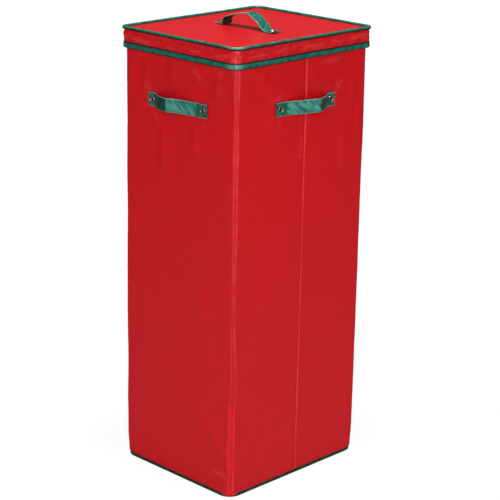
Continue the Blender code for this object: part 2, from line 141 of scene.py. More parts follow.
# Soft folds of the cloth on each wall, mm: a path of (along, height), its half width and its rise
FOLDS = {
    "front": (
        ((50, 142, 85, 131, 114, 104, 150, 74), 8, 3.4), ((60, 103, 92, 86, 118, 64), 7, -1.3),
        ((95, 172, 128, 142, 146, 114), 8, -1.3), ((88, 46, 128, 44, 145, 30), 5, 2.5),
        ((68, 289, 84, 270, 103, 250), 8, 2.2), ((40, 385, 62, 360, 81, 338), 15, 2.0),
        ((138, 198, 139, 136), 9, 1.7),
        ((-105, 802, -105, 722), 7, -1.5), ((-129, 792, -128, 735), 7, 2.0), ((-86, 797, -86, 746), 6, 2.0),
        ((-42, 802, -42, 758), 6, -1.4), ((-14, 804, -14, 765), 7, 2.0), ((33, 802, 64, 776), 5, 2.8),
        ((109, 804, 109, 786), 5, -1.3), ((99, 792, 100, 742), 7, 2.0), ((129, 796, 127, 730), 7, -1.5),
        ((-95, 757, -70, 743), 3.5, 1.7), ((-40, 692, -38, 585), 9, 2.5), ((-4, 682, -1, 590), 8, -1.4),
        ((44, 705, 46, 628), 9, 2.4), ((86, 686, 102, 628), 9, -1.4), ((-62, 704, -50, 682), 4, 1.4),
    ),
    "right": (
        ((-156, 812, -120, 799, -84, 784), 6, 2.5), ((15, 771, 45, 758, 84, 751), 6, 2.0),
        ((80, 746, 110, 759), 4, 2.5), ((38, 800, 108, 797), 5, 2.0), ((-120, 776, -60, 770), 7, 1.7),
        ((-102, 699, -50, 692, -8, 691), 7, 2.0), ((-8, 697, 40, 690, 88, 687), 7, 2.0),
        ((-84, 738, -47, 754), 3.5, 1.7),
        ((130, 768, 133, 710), 7, 2.4), ((154, 716, 151, 652), 7, 2.4), ((-7, 676, -2, 634), 3.5, -1.3),
        ((-13, 631, 3, 629), 2.5, 1.3), ((110, 690, 118, 560), 13, 1.4), ((-90, 420, -80, 250), 15, 1.3),
        ((70, 330, 90, 180), 15, 1.3), ((-150, 60, -60, 34), 7, 1.7),
    ),
    "back": (
        ((-110, 150, -138, 80), 7, 2.2), ((-40, 700, -44, 560), 12, 1.7), ((66, 690, 60, 520), 12, 1.7),
        ((90, 800, 88, 740), 11, 1.7), ((100, 60, 142, 26), 6, 2.0),
    ),
    "left": (
        ((-80, 745, -130, 785), 4, 2.1), ((140, 794, 40, 790), 7, 1.7), ((-60, 760, -40, 765), 4, 1.4),
        ((100, 420, 84, 260), 15, 1.3), ((150, 60, 70, 32), 7, 1.7),
    ),
}
# Short puckers that run out from the handles' tabs, measured from the rivet, away from the handle's middle
PUCKERS = (((12, 13, 27, 25), 3, 1.0), ((13, -10, 29, -18), 3, 0.9), ((-2, -14, 1, -33), 3.5, 0.9))
WALLS = ("front", "right", "back", "left")


def wall_plan(k, inset=0.0):
    """Directions along and out of wall k, its half length and its distance, moved in by inset."""
    turn = math.pi / 2 * k
    along, out = np.array((math.cos(turn), math.sin(turn))), np.array((math.sin(turn), -math.cos(turn)))
    half, distance = BODY_HALF if k % 2 == 0 else BODY_HALF[::-1]
    return along, out, half - inset, distance - inset


def wall_rivets(k):
    """How far along wall k its two rivets sit."""
    middle = k % 2 * (2 - k) * CREASE_AT
    return middle - WALL_RIVET, middle + WALL_RIVET


def past_crease(k, a, z):
    """How far behind the crease of side wall k a point is."""
    return a * (2 - k) - CREASE_AT - (z / COVER_TOP - 0.5) * CREASE_LEAN


def puckers(k):
    """The puckers of wall k: path, half width and rise."""
    for rivet, side in zip(wall_rivets(k), (-1, 1)):
        for (a0, z0, a1, z1), width, rise in PUCKERS:
            yield (rivet + side * a0, HANDLE_HEIGHT + z0, rivet + side * a1, HANDLE_HEIGHT + z1), width, rise


def eased(points, rounds):
    """The line with each corner cut back by a quarter of its runs, again and again."""
    for _ in range(rounds):
        near, far = points[:-1], points[1:]
        cut = np.stack([near * 0.75 + far * 0.25, near * 0.25 + far * 0.75], axis=1)
        points = np.concatenate([points[:1], cut.reshape(-1, points.shape[1]), points[-1:]])
    return points


def smooth_step(value):
    value = np.clip(value, 0, 1)
    return value * value * (3 - 2 * value)


def corner_line(k, before, after, inset=0.0):
    """Plan points round the corner after wall k: flat from before it to after it, straight beside that."""
    along, out, half, distance = wall_plan(k, inset)
    corner, straight = out * distance + along * half, HINGE - inset + LEAD
    near, far = corner - along * before, corner - out * after
    ease = (far - near) / np.linalg.norm(far - near) * RIDGE_BEND
    return eased(np.array([
        corner - along * straight, near - along * RIDGE_BEND, near + ease,
        far - ease, far - out * RIDGE_BEND, corner - out * straight,
    ]), 2)


def round_off(row, radius, inset):
    """Draws plan points that lie outside a rounded rectangle in to it."""
    core = np.array(BODY_HALF) - inset - radius
    core = np.clip(row, -core, core)
    away = np.linalg.norm(row - core, axis=1)
    pull = np.where(away > radius, radius / np.maximum(away, 1e-6), 1)
    return core + (row - core) * pull[:, None]


def soft_noise(x, y, seed):
    """Smooth noise from -1 to 1 at each point of two arrays."""
    x, y = np.broadcast_arrays(x, y)
    flat = [noise.noise(Vector((a, b, seed))) for a, b in zip(x.ravel(), y.ravel())]
    return np.array(flat).reshape(x.shape)


def waves(base, x, y, *layers):
    """Adds soft waves to base, each (height, run across, run up, seed), mm."""
    for height, across, up, seed in layers:
        base = base + height * soft_noise(x / across, y / up, seed)
    return base


def ridge(a, z, path, width, rise):
    """How far one soft fold along a path lifts the cloth."""
    points = np.reshape(path, (-1, 2)).astype(float)
    away, reach, start = np.full(np.shape(a), 1e9), np.zeros(np.shape(a)), 0
    for here, there in zip(points, points[1:]):
        run, climb = there - here
        length = math.hypot(run, climb)
        share = np.clip(((a - here[0]) * run + (z - here[1]) * climb) / length**2, 0, 1)
        off = np.hypot(a - here[0] - share * run, z - here[1] - share * climb)
        reach = np.where(off < away, start + share * length, reach)
        away = np.minimum(off, away)
        start += length
    ends = smooth_step(np.minimum(reach, start - reach) * 3 / start)
    return rise * ends * np.exp(-((away / width) ** 2))


def cover_relief(k, a, z):
    """How far the cover stands off wall k at a along it and z up."""
    foot, hem = smooth_step((FOOT_CRUMPLE - z) / 14), smooth_step((z - HEM_CRUMPLE) / 14)
    lift = waves(
        0.5, a, z, (0.55, 70, 110, k + 0.3), (0.25, 24, 38, k + 7.3), (0.75 * foot, 9, 13, k + 3.3),
        (0.5 * hem, 11, 9, k + 5.3),
    )
    for path, width, rise in (*FOLDS[WALLS[k]], *puckers(k)):
        lift = lift + ridge(a, z, path, width, rise)
    clear = 1
    for rivet in wall_rivets(k):
        away = np.maximum(np.abs(a - rivet) - TAB_HOLD[0], np.abs(z - HANDLE_HEIGHT) - TAB_HOLD[1])
        clear = clear * smooth_step(away / 5)
    lift = np.maximum(lift, -0.25) * clear
    if k % 2:
        off = past_crease(k, a, z)
        flank = np.where(off > 0, CREASE_FLANKS[1], CREASE_FLANKS[0])
        lift = lift - np.interp(z, *zip(*CREASE_DEPTHS)) * np.exp(-((off / flank) ** 2))
    return lift * smooth_step((COVER_TOP - 9 - z) / 14) * smooth_step((z - COVER_FOOT) / 5)


def cloth_ring(levels, corner_of, relief, radius_at, pitches, inset=0.0):
    """Rows of points round the box, one to a level: along each wall, then corner_of(k, level)."""
    rows = []
    for z in levels:
        row = []
        for k in range(4):
            along, out, half, distance = wall_plan(k, inset)
            end = half - (HINGE - inset) - LEAD
            steps = np.linspace(-end, end, round(2 * end / pitches[k]) + 1)[1:-1]
            if k % 2 and relief is cover_relief:
                sense = 2 - k
                line = sense * (CREASE_AT + (z / COVER_TOP - 0.5) * CREASE_LEAN)
                far = steps[np.abs(steps - sense * CREASE_AT) > 10]
                steps = np.sort(np.concatenate([far, line + np.array(CREASE_STEPS) * sense]))
            row.append(np.concatenate([out * distance + np.outer(steps, along), corner_of(k, z)]))
        row = round_off(np.concatenate(row), radius_at(z), inset)
        moved = np.zeros_like(row)
        for k in range(4):
            along, out, half, distance = wall_plan(k, inset)
            a, off = row @ along, distance - row @ out
            weight = smooth_step((half - np.abs(a)) / 12) * (off < 14) * (row @ out > 0)
            near = weight > 0
            moved[near] += np.outer(weight[near] * relief(k, a[near], z), out)
        row = row + moved
        row = np.concatenate([row, row[:1]])
        rows.append(np.column_stack([row, np.full(len(row), z)]))
    return np.array(rows)


def only(*pieces):
    """Selects these pieces alone, or nothing, and makes the first one active."""
    bpy.ops.object.select_all(action="DESELECT")
    for piece in pieces:
        piece.select_set(True)
    if pieces:
        bpy.context.view_layer.objects.active = pieces[0]


def edit(piece, *steps):
    """Takes each step (operator and its settings) on the whole of a mesh in edit mode."""
    only(piece)
    bpy.ops.object.mode_set(mode="EDIT")
    bpy.ops.mesh.select_all(action="SELECT")
    for operator, settings in steps:
        operator(**settings)
    bpy.ops.object.mode_set(mode="OBJECT")


WELD = 0.01  # mm, within which points become one
FACE_OUT = (bpy.ops.mesh.normals_make_consistent, {"inside": False})


def weave(name, points, material):
    """A grid of cloth, its rows and columns laid at points (mm), with a UV map in metres of cloth. Ends that
    meet are welded, and the faces look out."""
    rows, columns = points.shape[:2]
    only()
    bpy.ops.mesh.primitive_grid_add(x_subdivisions=columns - 1, y_subdivisions=rows - 1, size=1)
    piece = bpy.context.object
    piece.name = piece.data.name = name
    mesh = piece.data
    mesh.vertices.foreach_set("co", (points * MM).ravel())
    across = np.linalg.norm(np.diff(points, axis=0), axis=2).mean(axis=1)
    along = np.linalg.norm(np.diff(points, axis=1), axis=2).mean(axis=0)
    u = np.tile(np.concatenate([[0], np.cumsum(along)]), rows) * MM
    v = np.repeat(np.concatenate([[0], np.cumsum(across)]), columns) * MM
    corners = np.zeros(len(mesh.loops), np.int32)
    mesh.loops.foreach_get("vertex_index", corners)
    mesh.uv_layers.active.data.foreach_set("uv", np.column_stack([u[corners], v[corners]]).ravel())
    edit(piece, (bpy.ops.mesh.remove_doubles, {"threshold": WELD * MM}), FACE_OUT)
    mesh.materials.append(material)
    return piece


def mark(piece, name, share_at):
    """Gives each point of a piece the share that share_at works out from the points' places (mm)."""
    share = share_at(np.array([v.co for v in piece.data.vertices]) / MM)
    piece.data.attributes.new(name, "FLOAT", "POINT").data.foreach_set("value", share.astype(np.float32))


def apply_modifier(piece, kind, **settings):
    only(piece)
    modifier = piece.modifiers.new(kind.lower(), kind)
    for key, value in settings.items():
        setattr(modifier, key, value)
    bpy.ops.object.modifier_apply(modifier=modifier.name)


def make_drill(name, places, reach):
    """One cutter for the rivets' holes: a rod at each place (point, direction), mm."""
    rods = []
    for point, direction in places:
        only()
        bpy.ops.mesh.primitive_cylinder_add(
            vertices=32, radius=RIVET_HOLE * MM, depth=2 * reach * MM, location=Vector(point) * MM,
            rotation=Vector(direction).to_track_quat("Z", "Y").to_euler(),
        )
        rods.append(bpy.context.object)
    only(*rods)
    bpy.ops.object.join()
    drill = bpy.context.object
    drill.name = name
    return drill


def pierce(piece, drill):
    apply_modifier(piece, "BOOLEAN", operation="DIFFERENCE", solver="EXACT", object=drill)


def smooth(piece, angle=None):
    """Shades a piece smooth, but for edges sharper than the angle, degrees."""
    only(piece)
    if angle:
        bpy.ops.object.shade_smooth_by_angle(angle=math.radians(angle))
    else:
        bpy.ops.object.shade_smooth()


def thicken(piece, thickness, drill=None, angle=50):
    """Gives an open sheet its thickness, under the face that shows, its holes and its shading."""
    apply_modifier(piece, "SOLIDIFY", thickness=thickness * MM, offset=-1)
    if drill:
        pierce(piece, drill)
    smooth(piece, angle)


def fasten(piece, body, slot, *nodes):
    """Puts a piece on its body in place of these nodes. slot, its material's slot, is not used."""
    if nodes:
        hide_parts(*nodes)
    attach(piece, body)


def drop(piece):
    bpy.data.objects.remove(piece, do_unlink=True)


def wall_point(k, a, off, z):
    """A point (mm) at a along wall k, off its face and z up."""
    along, out, _, distance = wall_plan(k)
    return (*(out * (distance + off) + along * a), z)


def corner_reach(k, z):
    """How far before and after corner k its two ridges run."""
    if k == 0:
        heights, before, after = zip(*FRONT_FACET)
        reach = np.array((np.interp(z, heights, before), np.interp(z, heights, after)))
    else:
        reach = np.array([7 + 1.6 * soft_noise(z / 90, k, seed) for seed in (0.5, 4.5)])
        reach += (10.4 - reach) * smooth_step((54 - z) / 44)
    reach += (0.4 if k else 0.9) * soft_noise(z / 13, k, 9.5)
    reach = np.maximum(reach, 0.2)
    return PLAIN_REACH + (reach - PLAIN_REACH) * smooth_step((COVER_TOP - 8 - z) / 25)


def body_corner(k, z):
    return corner_line(k, *corner_reach(k, z))


def cover_radius(z):
    return np.interp(z, (COVER_FOOT, 9, 20, 815, 828), (FOOT_RADIUS, 13.5, 1, 1, HINGE))


def cloth_highlight(points):
    """How much painted highlight the cover gets at each point (mm): on narrow folds and puckers, on the
    corners' flat faces and ridges, and beside the side walls' creases.
    """
    share, z = np.zeros(len(points)), points[:, 2]
    levels, row = np.unique(np.round(z, 2), return_inverse=True)
    for k in range(4):
        along, out, half, distance = wall_plan(k)
        a, face = points[:, :2] @ along, points[:, :2] @ out > distance - 5
        folds = [(path, width * 0.6, 0.36) for path, width, _ in FOLDS[WALLS[k]] if width <= 5]
        folds += [(path, width * 0.5, 0.34) for path, width, _ in puckers(k)]
        for path, width, pale in folds:
            share = np.maximum(share, pale * face * ridge(a, z, path, width, 1))
        before, after = np.array([corner_reach(k, level) for level in levels])[row.ravel()].T
        off = points[:, :2] - out * distance - along * half
        back, on = -off @ along, -off @ out
        flat = 0.05 * ((back < before) & (on < after))
        ridges = 0.48 * np.exp(-((np.hypot(back - before, on) / 1.2) ** 2))
        ridges = np.maximum(ridges, 0.64 * np.exp(-((np.hypot(back, on - after) / 1.4) ** 2)))
        vary = waves(0.8, levels, k, (0.6, 24, 1, 12.5), (0.8, 8, 1, 14.5))[row.ravel()]
        share = np.maximum(share, np.maximum(flat, ridges) * vary)
        if k % 2:
            behind = past_crease(k, a, z)
            share = np.maximum(share, 0.6 * face * vary * np.exp(-(((behind - 1.2) / 1.2) ** 2)))
    return share


def fall(rows):
    """At the front right foot corner the cloth hangs down over the piping."""
    across = (rows[..., 0] - BODY_HALF[0] + rows[..., 1] + BODY_HALF[1]) / math.sqrt(2)
    near = (rows[..., 0] > BODY_HALF[0] - 32) & (rows[..., 1] < 32 - BODY_HALF[1])
    share = near * smooth_step((FALL_REACH - np.abs(across)) / 7)
    low = smooth_step((15 - rows[..., 2]) / 9)
    out = FALL_OUT * share * low / math.sqrt(2)
    return rows + np.stack([out, -out, -FALL_DOWN * share * low], axis=-1)


# Polyester cloth, plain woven, with a calendered polyurethane face: an even satin red whose coating fills
# the weave, so that the threads only just show, with faint cloudy differences of gloss. Painted highlights
# are drawn paler on narrow folds and puckers, on the corners' ridges and beside the side walls' creases.
coated_cloth, add = start_material("polyurethane_coated_polyester_red")
weave_map = add("UVMap")
place = add("TexCoord").outputs["Object"]
cloud = add("TexNoise", {"Vector": place, "Scale": 1 / (CLOUD_SIZE * MM), "Detail": 3})
tone = add("Mix", {"Factor": cloud, "A": linear(COATED_RED), "B": linear(COATED_DEEP)}, data_type="RGBA")
highlight_share = add("Attribute", attribute_name="cloth_highlight").outputs["Fac"]
highlighted = add("Mix", {"Factor": highlight_share, "A": tone, "B": linear(COATED_HIGHLIGHT)}, data_type="RGBA")
gloss = add("MapRange", {"Value": cloud, "From Min": 0.3, "From Max": 0.7, "To Min": 0.33, "To Max": 0.41})
threads = [
    add(
        "TexWave", {"Vector": weave_map, "Scale": math.pi / 10 / (THREAD_PITCH * MM)},
        wave_type="BANDS", bands_direction=direction,
    ).outputs["Fac"] for direction in ("X", "Y")
]
knit = add("Math", {0: threads[0], 1: threads[1]}, operation="MAXIMUM")
grain = add("Bump", {"Height": knit, "Strength": 0.12, "Distance": 0.05 * MM})
finish_material(coated_cloth, {
    "Base Color": highlighted, "Roughness": gloss, "Specular IOR Level": 0.24, "Normal": grain,
})

wall_drill = make_drill("wall_drill", [
    (wall_point(k, a, -2, HANDLE_HEIGHT), (*wall_plan(k)[1], 0)) for k in range(4) for a in wall_rivets(k)
], 8)
levels = np.concatenate([np.linspace(COVER_FOOT, 38, 13), np.linspace(44, COVER_TOP, 134)])
rows = cloth_ring(levels, body_corner, cover_relief, cover_radius, COLUMN_PITCHES)
cover = weave("cover_cloth", fall(rows), coated_cloth)
# Painted highlights on narrow folds and puckers, on the corners' ridges and beside the creases.
mark(cover, "cloth_highlight", cloth_highlight)
thicken(cover, COVER_THICK, wall_drill)
fasten(cover, "box", "red_coated_fabric", *(wall + "_cover" for wall in WALLS))


# ---- Body lining ----
# Thin red spunbond cloth, 0.6 mm, point-bonded and tacked to the inside of the boards. It is held by
# the rim tape, the washers and the foot seam, and lies a little loose between them.
LINING_IN, LINING_FOOT, LINING_THICK = 3.9, 1.1, 0.6
LINING_RED, LINING_DEEP = "#C2202A", "#A31620"
TIPPED_BOARD_TOP = 345  # mm, how far up the back wall the base board leans when it is tipped up
BOND_PITCH = 1.6  # mm between the bonded points


def lining_relief(k, a, z):
    """The lining only moves in, away from the boards, and not under the washers."""
    lift = waves(0.5, a, z, (0.7, 60, 90, k + 20.5), (0.3, 18, 25, k + 31.5))
    clear = 1
    for rivet in wall_rivets(k):
        clear = clear * smooth_step((np.hypot(a - rivet, z - HANDLE_HEIGHT) - 7.5) / 12)
    ends = smooth_step((COVER_TOP - 10 - z) / 16) * smooth_step((z - 8) / 16)
    if WALLS[k] == "back":
        ends = ends * smooth_step((z - TIPPED_BOARD_TOP) / 40)
    return -np.maximum(lift, 0) * clear * ends


def lining_corner(k, _):
    reach = (HINGE - LINING_IN) * 0.586  # as a rounded corner has
    return corner_line(k, reach, reach, LINING_IN)


def lining_radius(z):
    return np.interp(z, (9, 22), (10.2, HINGE - LINING_IN))


# Spunbond polypropylene: matt red fibre felt with a grid of small pressed points.
spunbond, add = start_material("spunbond_polypropylene_red")
weave_map = add("UVMap")
fibre = add("TexNoise", {"Vector": weave_map, "Scale": 1 / (0.8 * MM), "Detail": 6})
tone = add("Mix", {"Factor": fibre, "A": linear(LINING_RED), "B": linear(LINING_DEEP)}, data_type="RGBA")
points = add("TexVoronoi", {"Vector": weave_map, "Scale": 1 / (BOND_PITCH * MM), "Randomness": 0.0})
pressed = add("MapRange", {"Value": points, "From Max": 0.3})
height = add("Math", {0: pressed, 1: fibre}, operation="ADD")
dimples = add("Bump", {"Height": height, "Strength": 0.5, "Distance": 0.12 * MM})
finish_material(spunbond, {
    "Base Color": tone, "Roughness": 0.85, "Specular IOR Level": 0.25,
    "Sheen Weight": 0.1, "Sheen Roughness": 0.6, "Normal": dimples,
})

levels = np.linspace(LINING_FOOT, COVER_TOP, 86)
rows = cloth_ring(levels, lining_corner, lining_relief, lining_radius, (12, 12, 12, 12), LINING_IN)
lining = weave("lining_cloth", rows, spunbond)
thicken(lining, LINING_THICK, wall_drill)
fasten(lining, "box", "red_lining", *(wall + "_lining" for wall in WALLS))
drop(wall_drill)


# ---- Rim tape ----
# Green vinyl binding tape, 0.7 mm, folded over the top edge of the walls and sewn through with a row of
# lock stitches on each side.
PLAN_RADIUS = 9.5  # mm, of the box's corners at the rim
RIM_FOOT, RIM_TOP, TAPE_THICK, TAPE_GAP = 832.7, 841.7, 0.7, 0.3
WALL_THICK = 4.5  # mm, cover, board and lining
# The last two colours are painted: nearly black painted shade, and a pale painted highlight.
TAPE_GREEN, TAPE_DEEP, TAPE_SHADE, TAPE_HIGHLIGHT = "#187463", "#0A5346", "#010D09", "#6DB3A3"
THREAD_GREEN = "#0C3A30"
PORE_SIZE = 0.7  # mm, of the grain pressed into the vinyl
STITCH_PITCH, STITCH_LENGTH, STITCH_RADIUS = 3.6, 2.7, 0.26


def run_along(line):
    """How far along a line of points each one is."""
    return np.concatenate([[0], np.cumsum(np.linalg.norm(np.diff(line, axis=0), axis=1))])


def plan_frames(offset, pitch, corner_steps=8, radius=PLAN_RADIUS):
    """Places and outward directions anticlockwise round the box, moved out by offset, and the first again."""
    places, outs = [], []
    for k in range(4):
        along, out, half, distance = wall_plan(k, -offset)
        end = half - radius - offset
        steps = np.linspace(-end, end, max(2, round(2 * end / pitch) + 1))
        places.append(out * distance + np.outer(steps, along))
        outs.append(np.tile(out, (len(steps), 1)))
        centre = along * end + out * (distance - radius - offset)
        for step in range(1, corner_steps):
            turn = math.pi / 2 * step / corner_steps
            face = out * math.cos(turn) + along * math.sin(turn)
            places.append((centre + (radius + offset) * face)[None])
            outs.append(face[None])
    places, outs = np.concatenate(places), np.concatenate(outs)
    return np.concatenate([places, places[:1]]), np.concatenate([outs, outs[:1]])


def carry(section, frames, waver=None):
    """The section, points (out, up), carried along the frames. waver(s, j) moves its point j at s along."""
    places, outs = frames
    along, rows = run_along(places), []
    for j, (a, b) in enumerate(section):
        move = np.zeros((len(places), 2)) if waver is None else waver(along, j)
        rows.append(np.column_stack([places + outs * (a + move[:, :1]), b + move[:, 1]]))
    rows = np.array(rows)
    rows[:, -1] = rows[:, 0]
    return rows


def stitches(name, material, lines, pitch=STITCH_PITCH):
    """A row of stitches along each line: arrays of places and of outward directions, mm. One is modelled
    and then copied along."""
    only()
    bpy.ops.mesh.primitive_uv_sphere_add(segments=6, ring_count=5, radius=1)
    one = bpy.context.object
    shape = np.array([v.co for v in one.data.vertices]) * (STITCH_RADIUS, STITCH_RADIUS, STITCH_LENGTH / 2)
    faces = [list(face.vertices) for face in one.data.polygons]
    drop(one)
    verts, made = [], []
    for places, outs in lines:
        run = run_along(places)
        count = int(run[-1] / pitch)
        for s in (np.arange(count) + 0.5) * run[-1] / count:
            spot, ahead, behind, out = (
                np.array([np.interp(s + step, run, column) for column in line.T])
                for step, line in ((0, places), (0.5, places), (-0.5, places), (0, outs))
            )
            way = ahead - behind
            way /= np.linalg.norm(way)
            out -= way * (out @ way)
            out /= np.linalg.norm(out)
            made += [[len(verts) * len(shape) + v for v in face] for face in faces]
            verts.append(spot + shape @ np.array([np.cross(out, way), out, way]))
    mesh = bpy.data.meshes.new(name)
    mesh.from_pydata((np.concatenate(verts) * MM).tolist(), [], made)
    mesh.materials.append(material)
    piece = bpy.data.objects.new(name, mesh)
    bpy.context.scene.collection.objects.link(piece)
    smooth(piece)
    return piece


def plan_stitches(name, material, lines):
    """Stitches round the box: each line is (out from the plan, up, whether they lie on the inside)."""
    made = []
    for out, up, inside in lines:
        places, outs = plan_frames(0, 6)
        facing = -outs if inside else outs
        flat = np.zeros(len(places))
        made.append((np.column_stack([places + outs * out, flat + up]), np.column_stack([facing, flat])))
    return stitches(name, material, made)


def tape_light_marks(add, tone, *_):
    """Adds the tapes' painted light: nearly black painted shade where the edge mark is 1, along edges and
    undersides, and a painted highlight where the corner mark is 1.
    """
    edge = add("Attribute", attribute_name="edge").outputs["Fac"]
    painted_sheen = add("Attribute", attribute_name="painted_sheen").outputs["Fac"]
    pale = add("Mix", {"Factor": painted_sheen, "A": tone, "B": linear(TAPE_HIGHLIGHT)}, data_type="RGBA")
    return add("Mix", {"Factor": edge, "A": pale, "B": linear(TAPE_SHADE)}, data_type="RGBA")


def calendered_vinyl(name, light, deep, light_marks=tape_light_marks, dapple=12, glossiest=0.3, shine=None):
    """Calendered vinyl on a knitted back: smooth, semi-gloss, with a fine pressed grain and dapples of tone,
    mm. The function given to it adds painted light and shade to its colour."""
    material, add = start_material(name)
    strip_map = add("UVMap")
    place = add("TexCoord").outputs["Object"]
    cloud = add("TexNoise", {"Vector": place, "Scale": 1 / (dapple * MM), "Detail": 4})
    mottle = add("MapRange", {"Value": cloud, "From Min": 0.35, "From Max": 0.65})
    tone = add("Mix", {"Factor": mottle, "A": linear(light), "B": linear(deep)}, data_type="RGBA")
    gloss = add("MapRange", {
        "Value": cloud, "From Min": 0.3, "From Max": 0.7, "To Min": glossiest, "To Max": 0.42,
    })
    pores = add("TexNoise", {"Vector": strip_map, "Scale": 1 / (PORE_SIZE * MM), "Detail": 2})
    grain = add("Bump", {"Height": pores, "Strength": 0.15, "Distance": 0.08 * MM})
    painted_tone = light_marks(add, tone, strip_map, cloud)
    surface = {"Base Color": painted_tone, "Roughness": gloss, "Normal": grain}
    return finish_material(material, {**surface, **(shine or {})})


vinyl = calendered_vinyl("calendered_vinyl_green", TAPE_GREEN, TAPE_DEEP)

# Spun polyester sewing thread: matt, a shade darker than the tape, with its twist showing as fine bands.
thread, add = start_material("spun_polyester_thread_green")
place = add("TexCoord").outputs["Object"]
twist = add("TexNoise", {"Vector": place, "Scale": 1 / (0.4 * MM), "Detail": 1})
ply = add("Bump", {"Height": twist, "Strength": 0.5, "Distance": 0.1 * MM})
finish_material(thread, {"Base Color": linear(THREAD_GREEN), "Roughness": 0.7, "Normal": ply})

outer, inner = TAPE_GAP + TAPE_THICK, -(WALL_THICK + TAPE_GAP + TAPE_THICK)
rim_section = (
    (outer, RIM_FOOT), (outer, RIM_FOOT + 3), (outer, RIM_FOOT + 6), (outer, RIM_TOP - 1.4),
    (outer - 0.5, RIM_TOP - 0.4), (outer - 1.6, RIM_TOP), (inner + 1.6, RIM_TOP),
    (inner + 0.5, RIM_TOP - 0.4), (inner, RIM_TOP - 1.4), (inner, RIM_FOOT + 6), (inner, RIM_FOOT + 3),
    (inner, RIM_FOOT),
)
rim_tape = weave("rim_tape", carry(rim_section, plan_frames(0, 7)), vinyl)
thicken(rim_tape, TAPE_THICK)
fasten(rim_tape, "box", "green_vinyl_trim", "rim_binding")
rim_stitches = plan_stitches("rim_stitches", thread, [
    (outer + 0.05, RIM_FOOT + 1.8, False), (inner - 0.05, RIM_FOOT + 1.8, True),
])
fasten(rim_stitches, "box", "green_vinyl_trim")


# ---- Foot piping and foot cloth ----
# Piping of green vinyl wrapped round a soft cord is sewn between the cover and the cloth of the bottom.
# It stands 1.6 mm proud of the walls and carries the box. Its vinyl is drawn darker than the tapes', as
# painted shade.
FOOT_PIPING, FOOT_PIPING_OUT = (4.2, 6.2), 1.6
# A darker copy of the tapes' greens: painted shade for the shaded foot.
FOOT_SHADED_GREEN, FOOT_SHADED_DEEP = "#0B4436", "#032019"
FOOT_CLOTH_IN, FOOT_CLOTH_THICK = 2.9, 0.8


def piping_section(width, height, out, up, steps=16):
    """A round or oval cord, closed."""
    turns = np.linspace(0, 2 * math.pi, steps + 1)
    return [(out + width / 2 * math.cos(t), up + height / 2 * math.sin(t)) for t in turns]


def flat_cloth(name, material, halves, grow, radius, pitch, level, up=True):
    """A flat sheet, grow larger than halves all round, with rounded corners and the height level(x, y)."""
    half_x, half_y, radius = halves[0] + grow, halves[1] + grow, radius + grow
    x = np.linspace(-half_x, half_x, round(2 * half_x / pitch) + 1)
    y = np.linspace(-half_y, half_y, round(2 * half_y / pitch) + 1)
    grid_x, grid_y = np.meshgrid(x, y)
    core_x = np.clip(grid_x, radius - half_x, half_x - radius)
    core_y = np.clip(grid_y, radius - half_y, half_y - radius)
    off = np.hypot(grid_x - core_x, grid_y - core_y)
    pull = np.where(off > radius, radius / np.maximum(off, 1e-6), 1)
    x, y = core_x + (grid_x - core_x) * pull, core_y + (grid_y - core_y) * pull
    piece = weave(name, np.stack([x, y, level(x, y)], axis=2), material)
    facing = sum(face.normal.z * face.area for face in piece.data.polygons)
    if (facing > 0) != up:
        edit(piece, (bpy.ops.mesh.flip_normals, {}))
    return piece


width, height = FOOT_PIPING
foot_section = piping_section(width, height, FOOT_PIPING_OUT - width / 2, height / 2)
shaded_vinyl = calendered_vinyl("calendered_vinyl_green_painted_shade", FOOT_SHADED_GREEN, FOOT_SHADED_DEEP)
foot_piping = weave("foot_piping", carry(foot_section, plan_frames(0, 8, 12, FOOT_RADIUS)), shaded_vinyl)
smooth(foot_piping)
fasten(foot_piping, "box", "green_vinyl_trim", "base_piping")

foot_cloth = flat_cloth(
    "foot_cloth", coated_cloth, BODY_HALF, -FOOT_CLOTH_IN, FOOT_RADIUS, 8,
    lambda x, y: waves(0.12, x, y, (0.12, 40, 55, 40.5)), up=False,
)
thicken(foot_cloth, FOOT_CLOTH_THICK)
fasten(foot_cloth, "box", "red_coated_fabric", "bottom_cloth")


# ---- Base wrap ----
# The loose base board is wrapped in the lining's spunbond cloth, 0.6 mm. The cloth is drawn tight over
# the top and turned down over the board's edges.
BASE_HALF, BASE_RADIUS, BASE_FOOT, BASE_TOP = (137.5, 166.5), 8.0, 1.1, 5.0
WRAP_THICK, BASE_TURN = 0.6, 1.0  # and how far from the board's edge the wrap starts to turn down
WRAP_TURN = ((0, 0), (0.55, 0.12), (0.92, 0.48), (1.0, 1.0), (1.0, BASE_TOP - BASE_FOOT))  # out and down, mm

base_wrap = flat_cloth(
    "base_wrap", spunbond, BASE_HALF, -BASE_TURN, BASE_RADIUS, 9,
    lambda x, y: waves(BASE_TOP - 0.08, x, y, (0.07, 30, 40, 44.5)),
)
for (out0, down0), (out1, down1) in zip(WRAP_TURN, WRAP_TURN[1:]):
    edit(base_wrap, (bpy.ops.mesh.region_to_loop, {}), (bpy.ops.mesh.extrude_edges_move, {}))
    for vert in base_wrap.data.vertices:
        if vert.select:
            here = np.array(vert.co.xy) / MM
            straight = np.array(BASE_HALF) - BASE_RADIUS
            away = Vector(here - np.clip(here, -straight, straight)).normalized() * (out1 - out0)
            vert.co += Vector((away.x, away.y, down0 - down1)) * MM
thicken(base_wrap, WRAP_THICK, angle=60)
fasten(base_wrap, "base_board", "red_lining", "base_cloth")


# ---- Strap handles ----
# Each strap is green vinyl folded in along both long edges and sewn, 25.4 mm wide, bent into a bow and
# riveted through the wall at both ends. The doubled edges are thicker. Painted highlights run along them and
# across the lit face of each bow, and painted shade lies round the rivets, on the back and on short rises.
STRAP_SEAT, TAB = 1.1, 21.0  # mm, how high the tabs lie, and their length
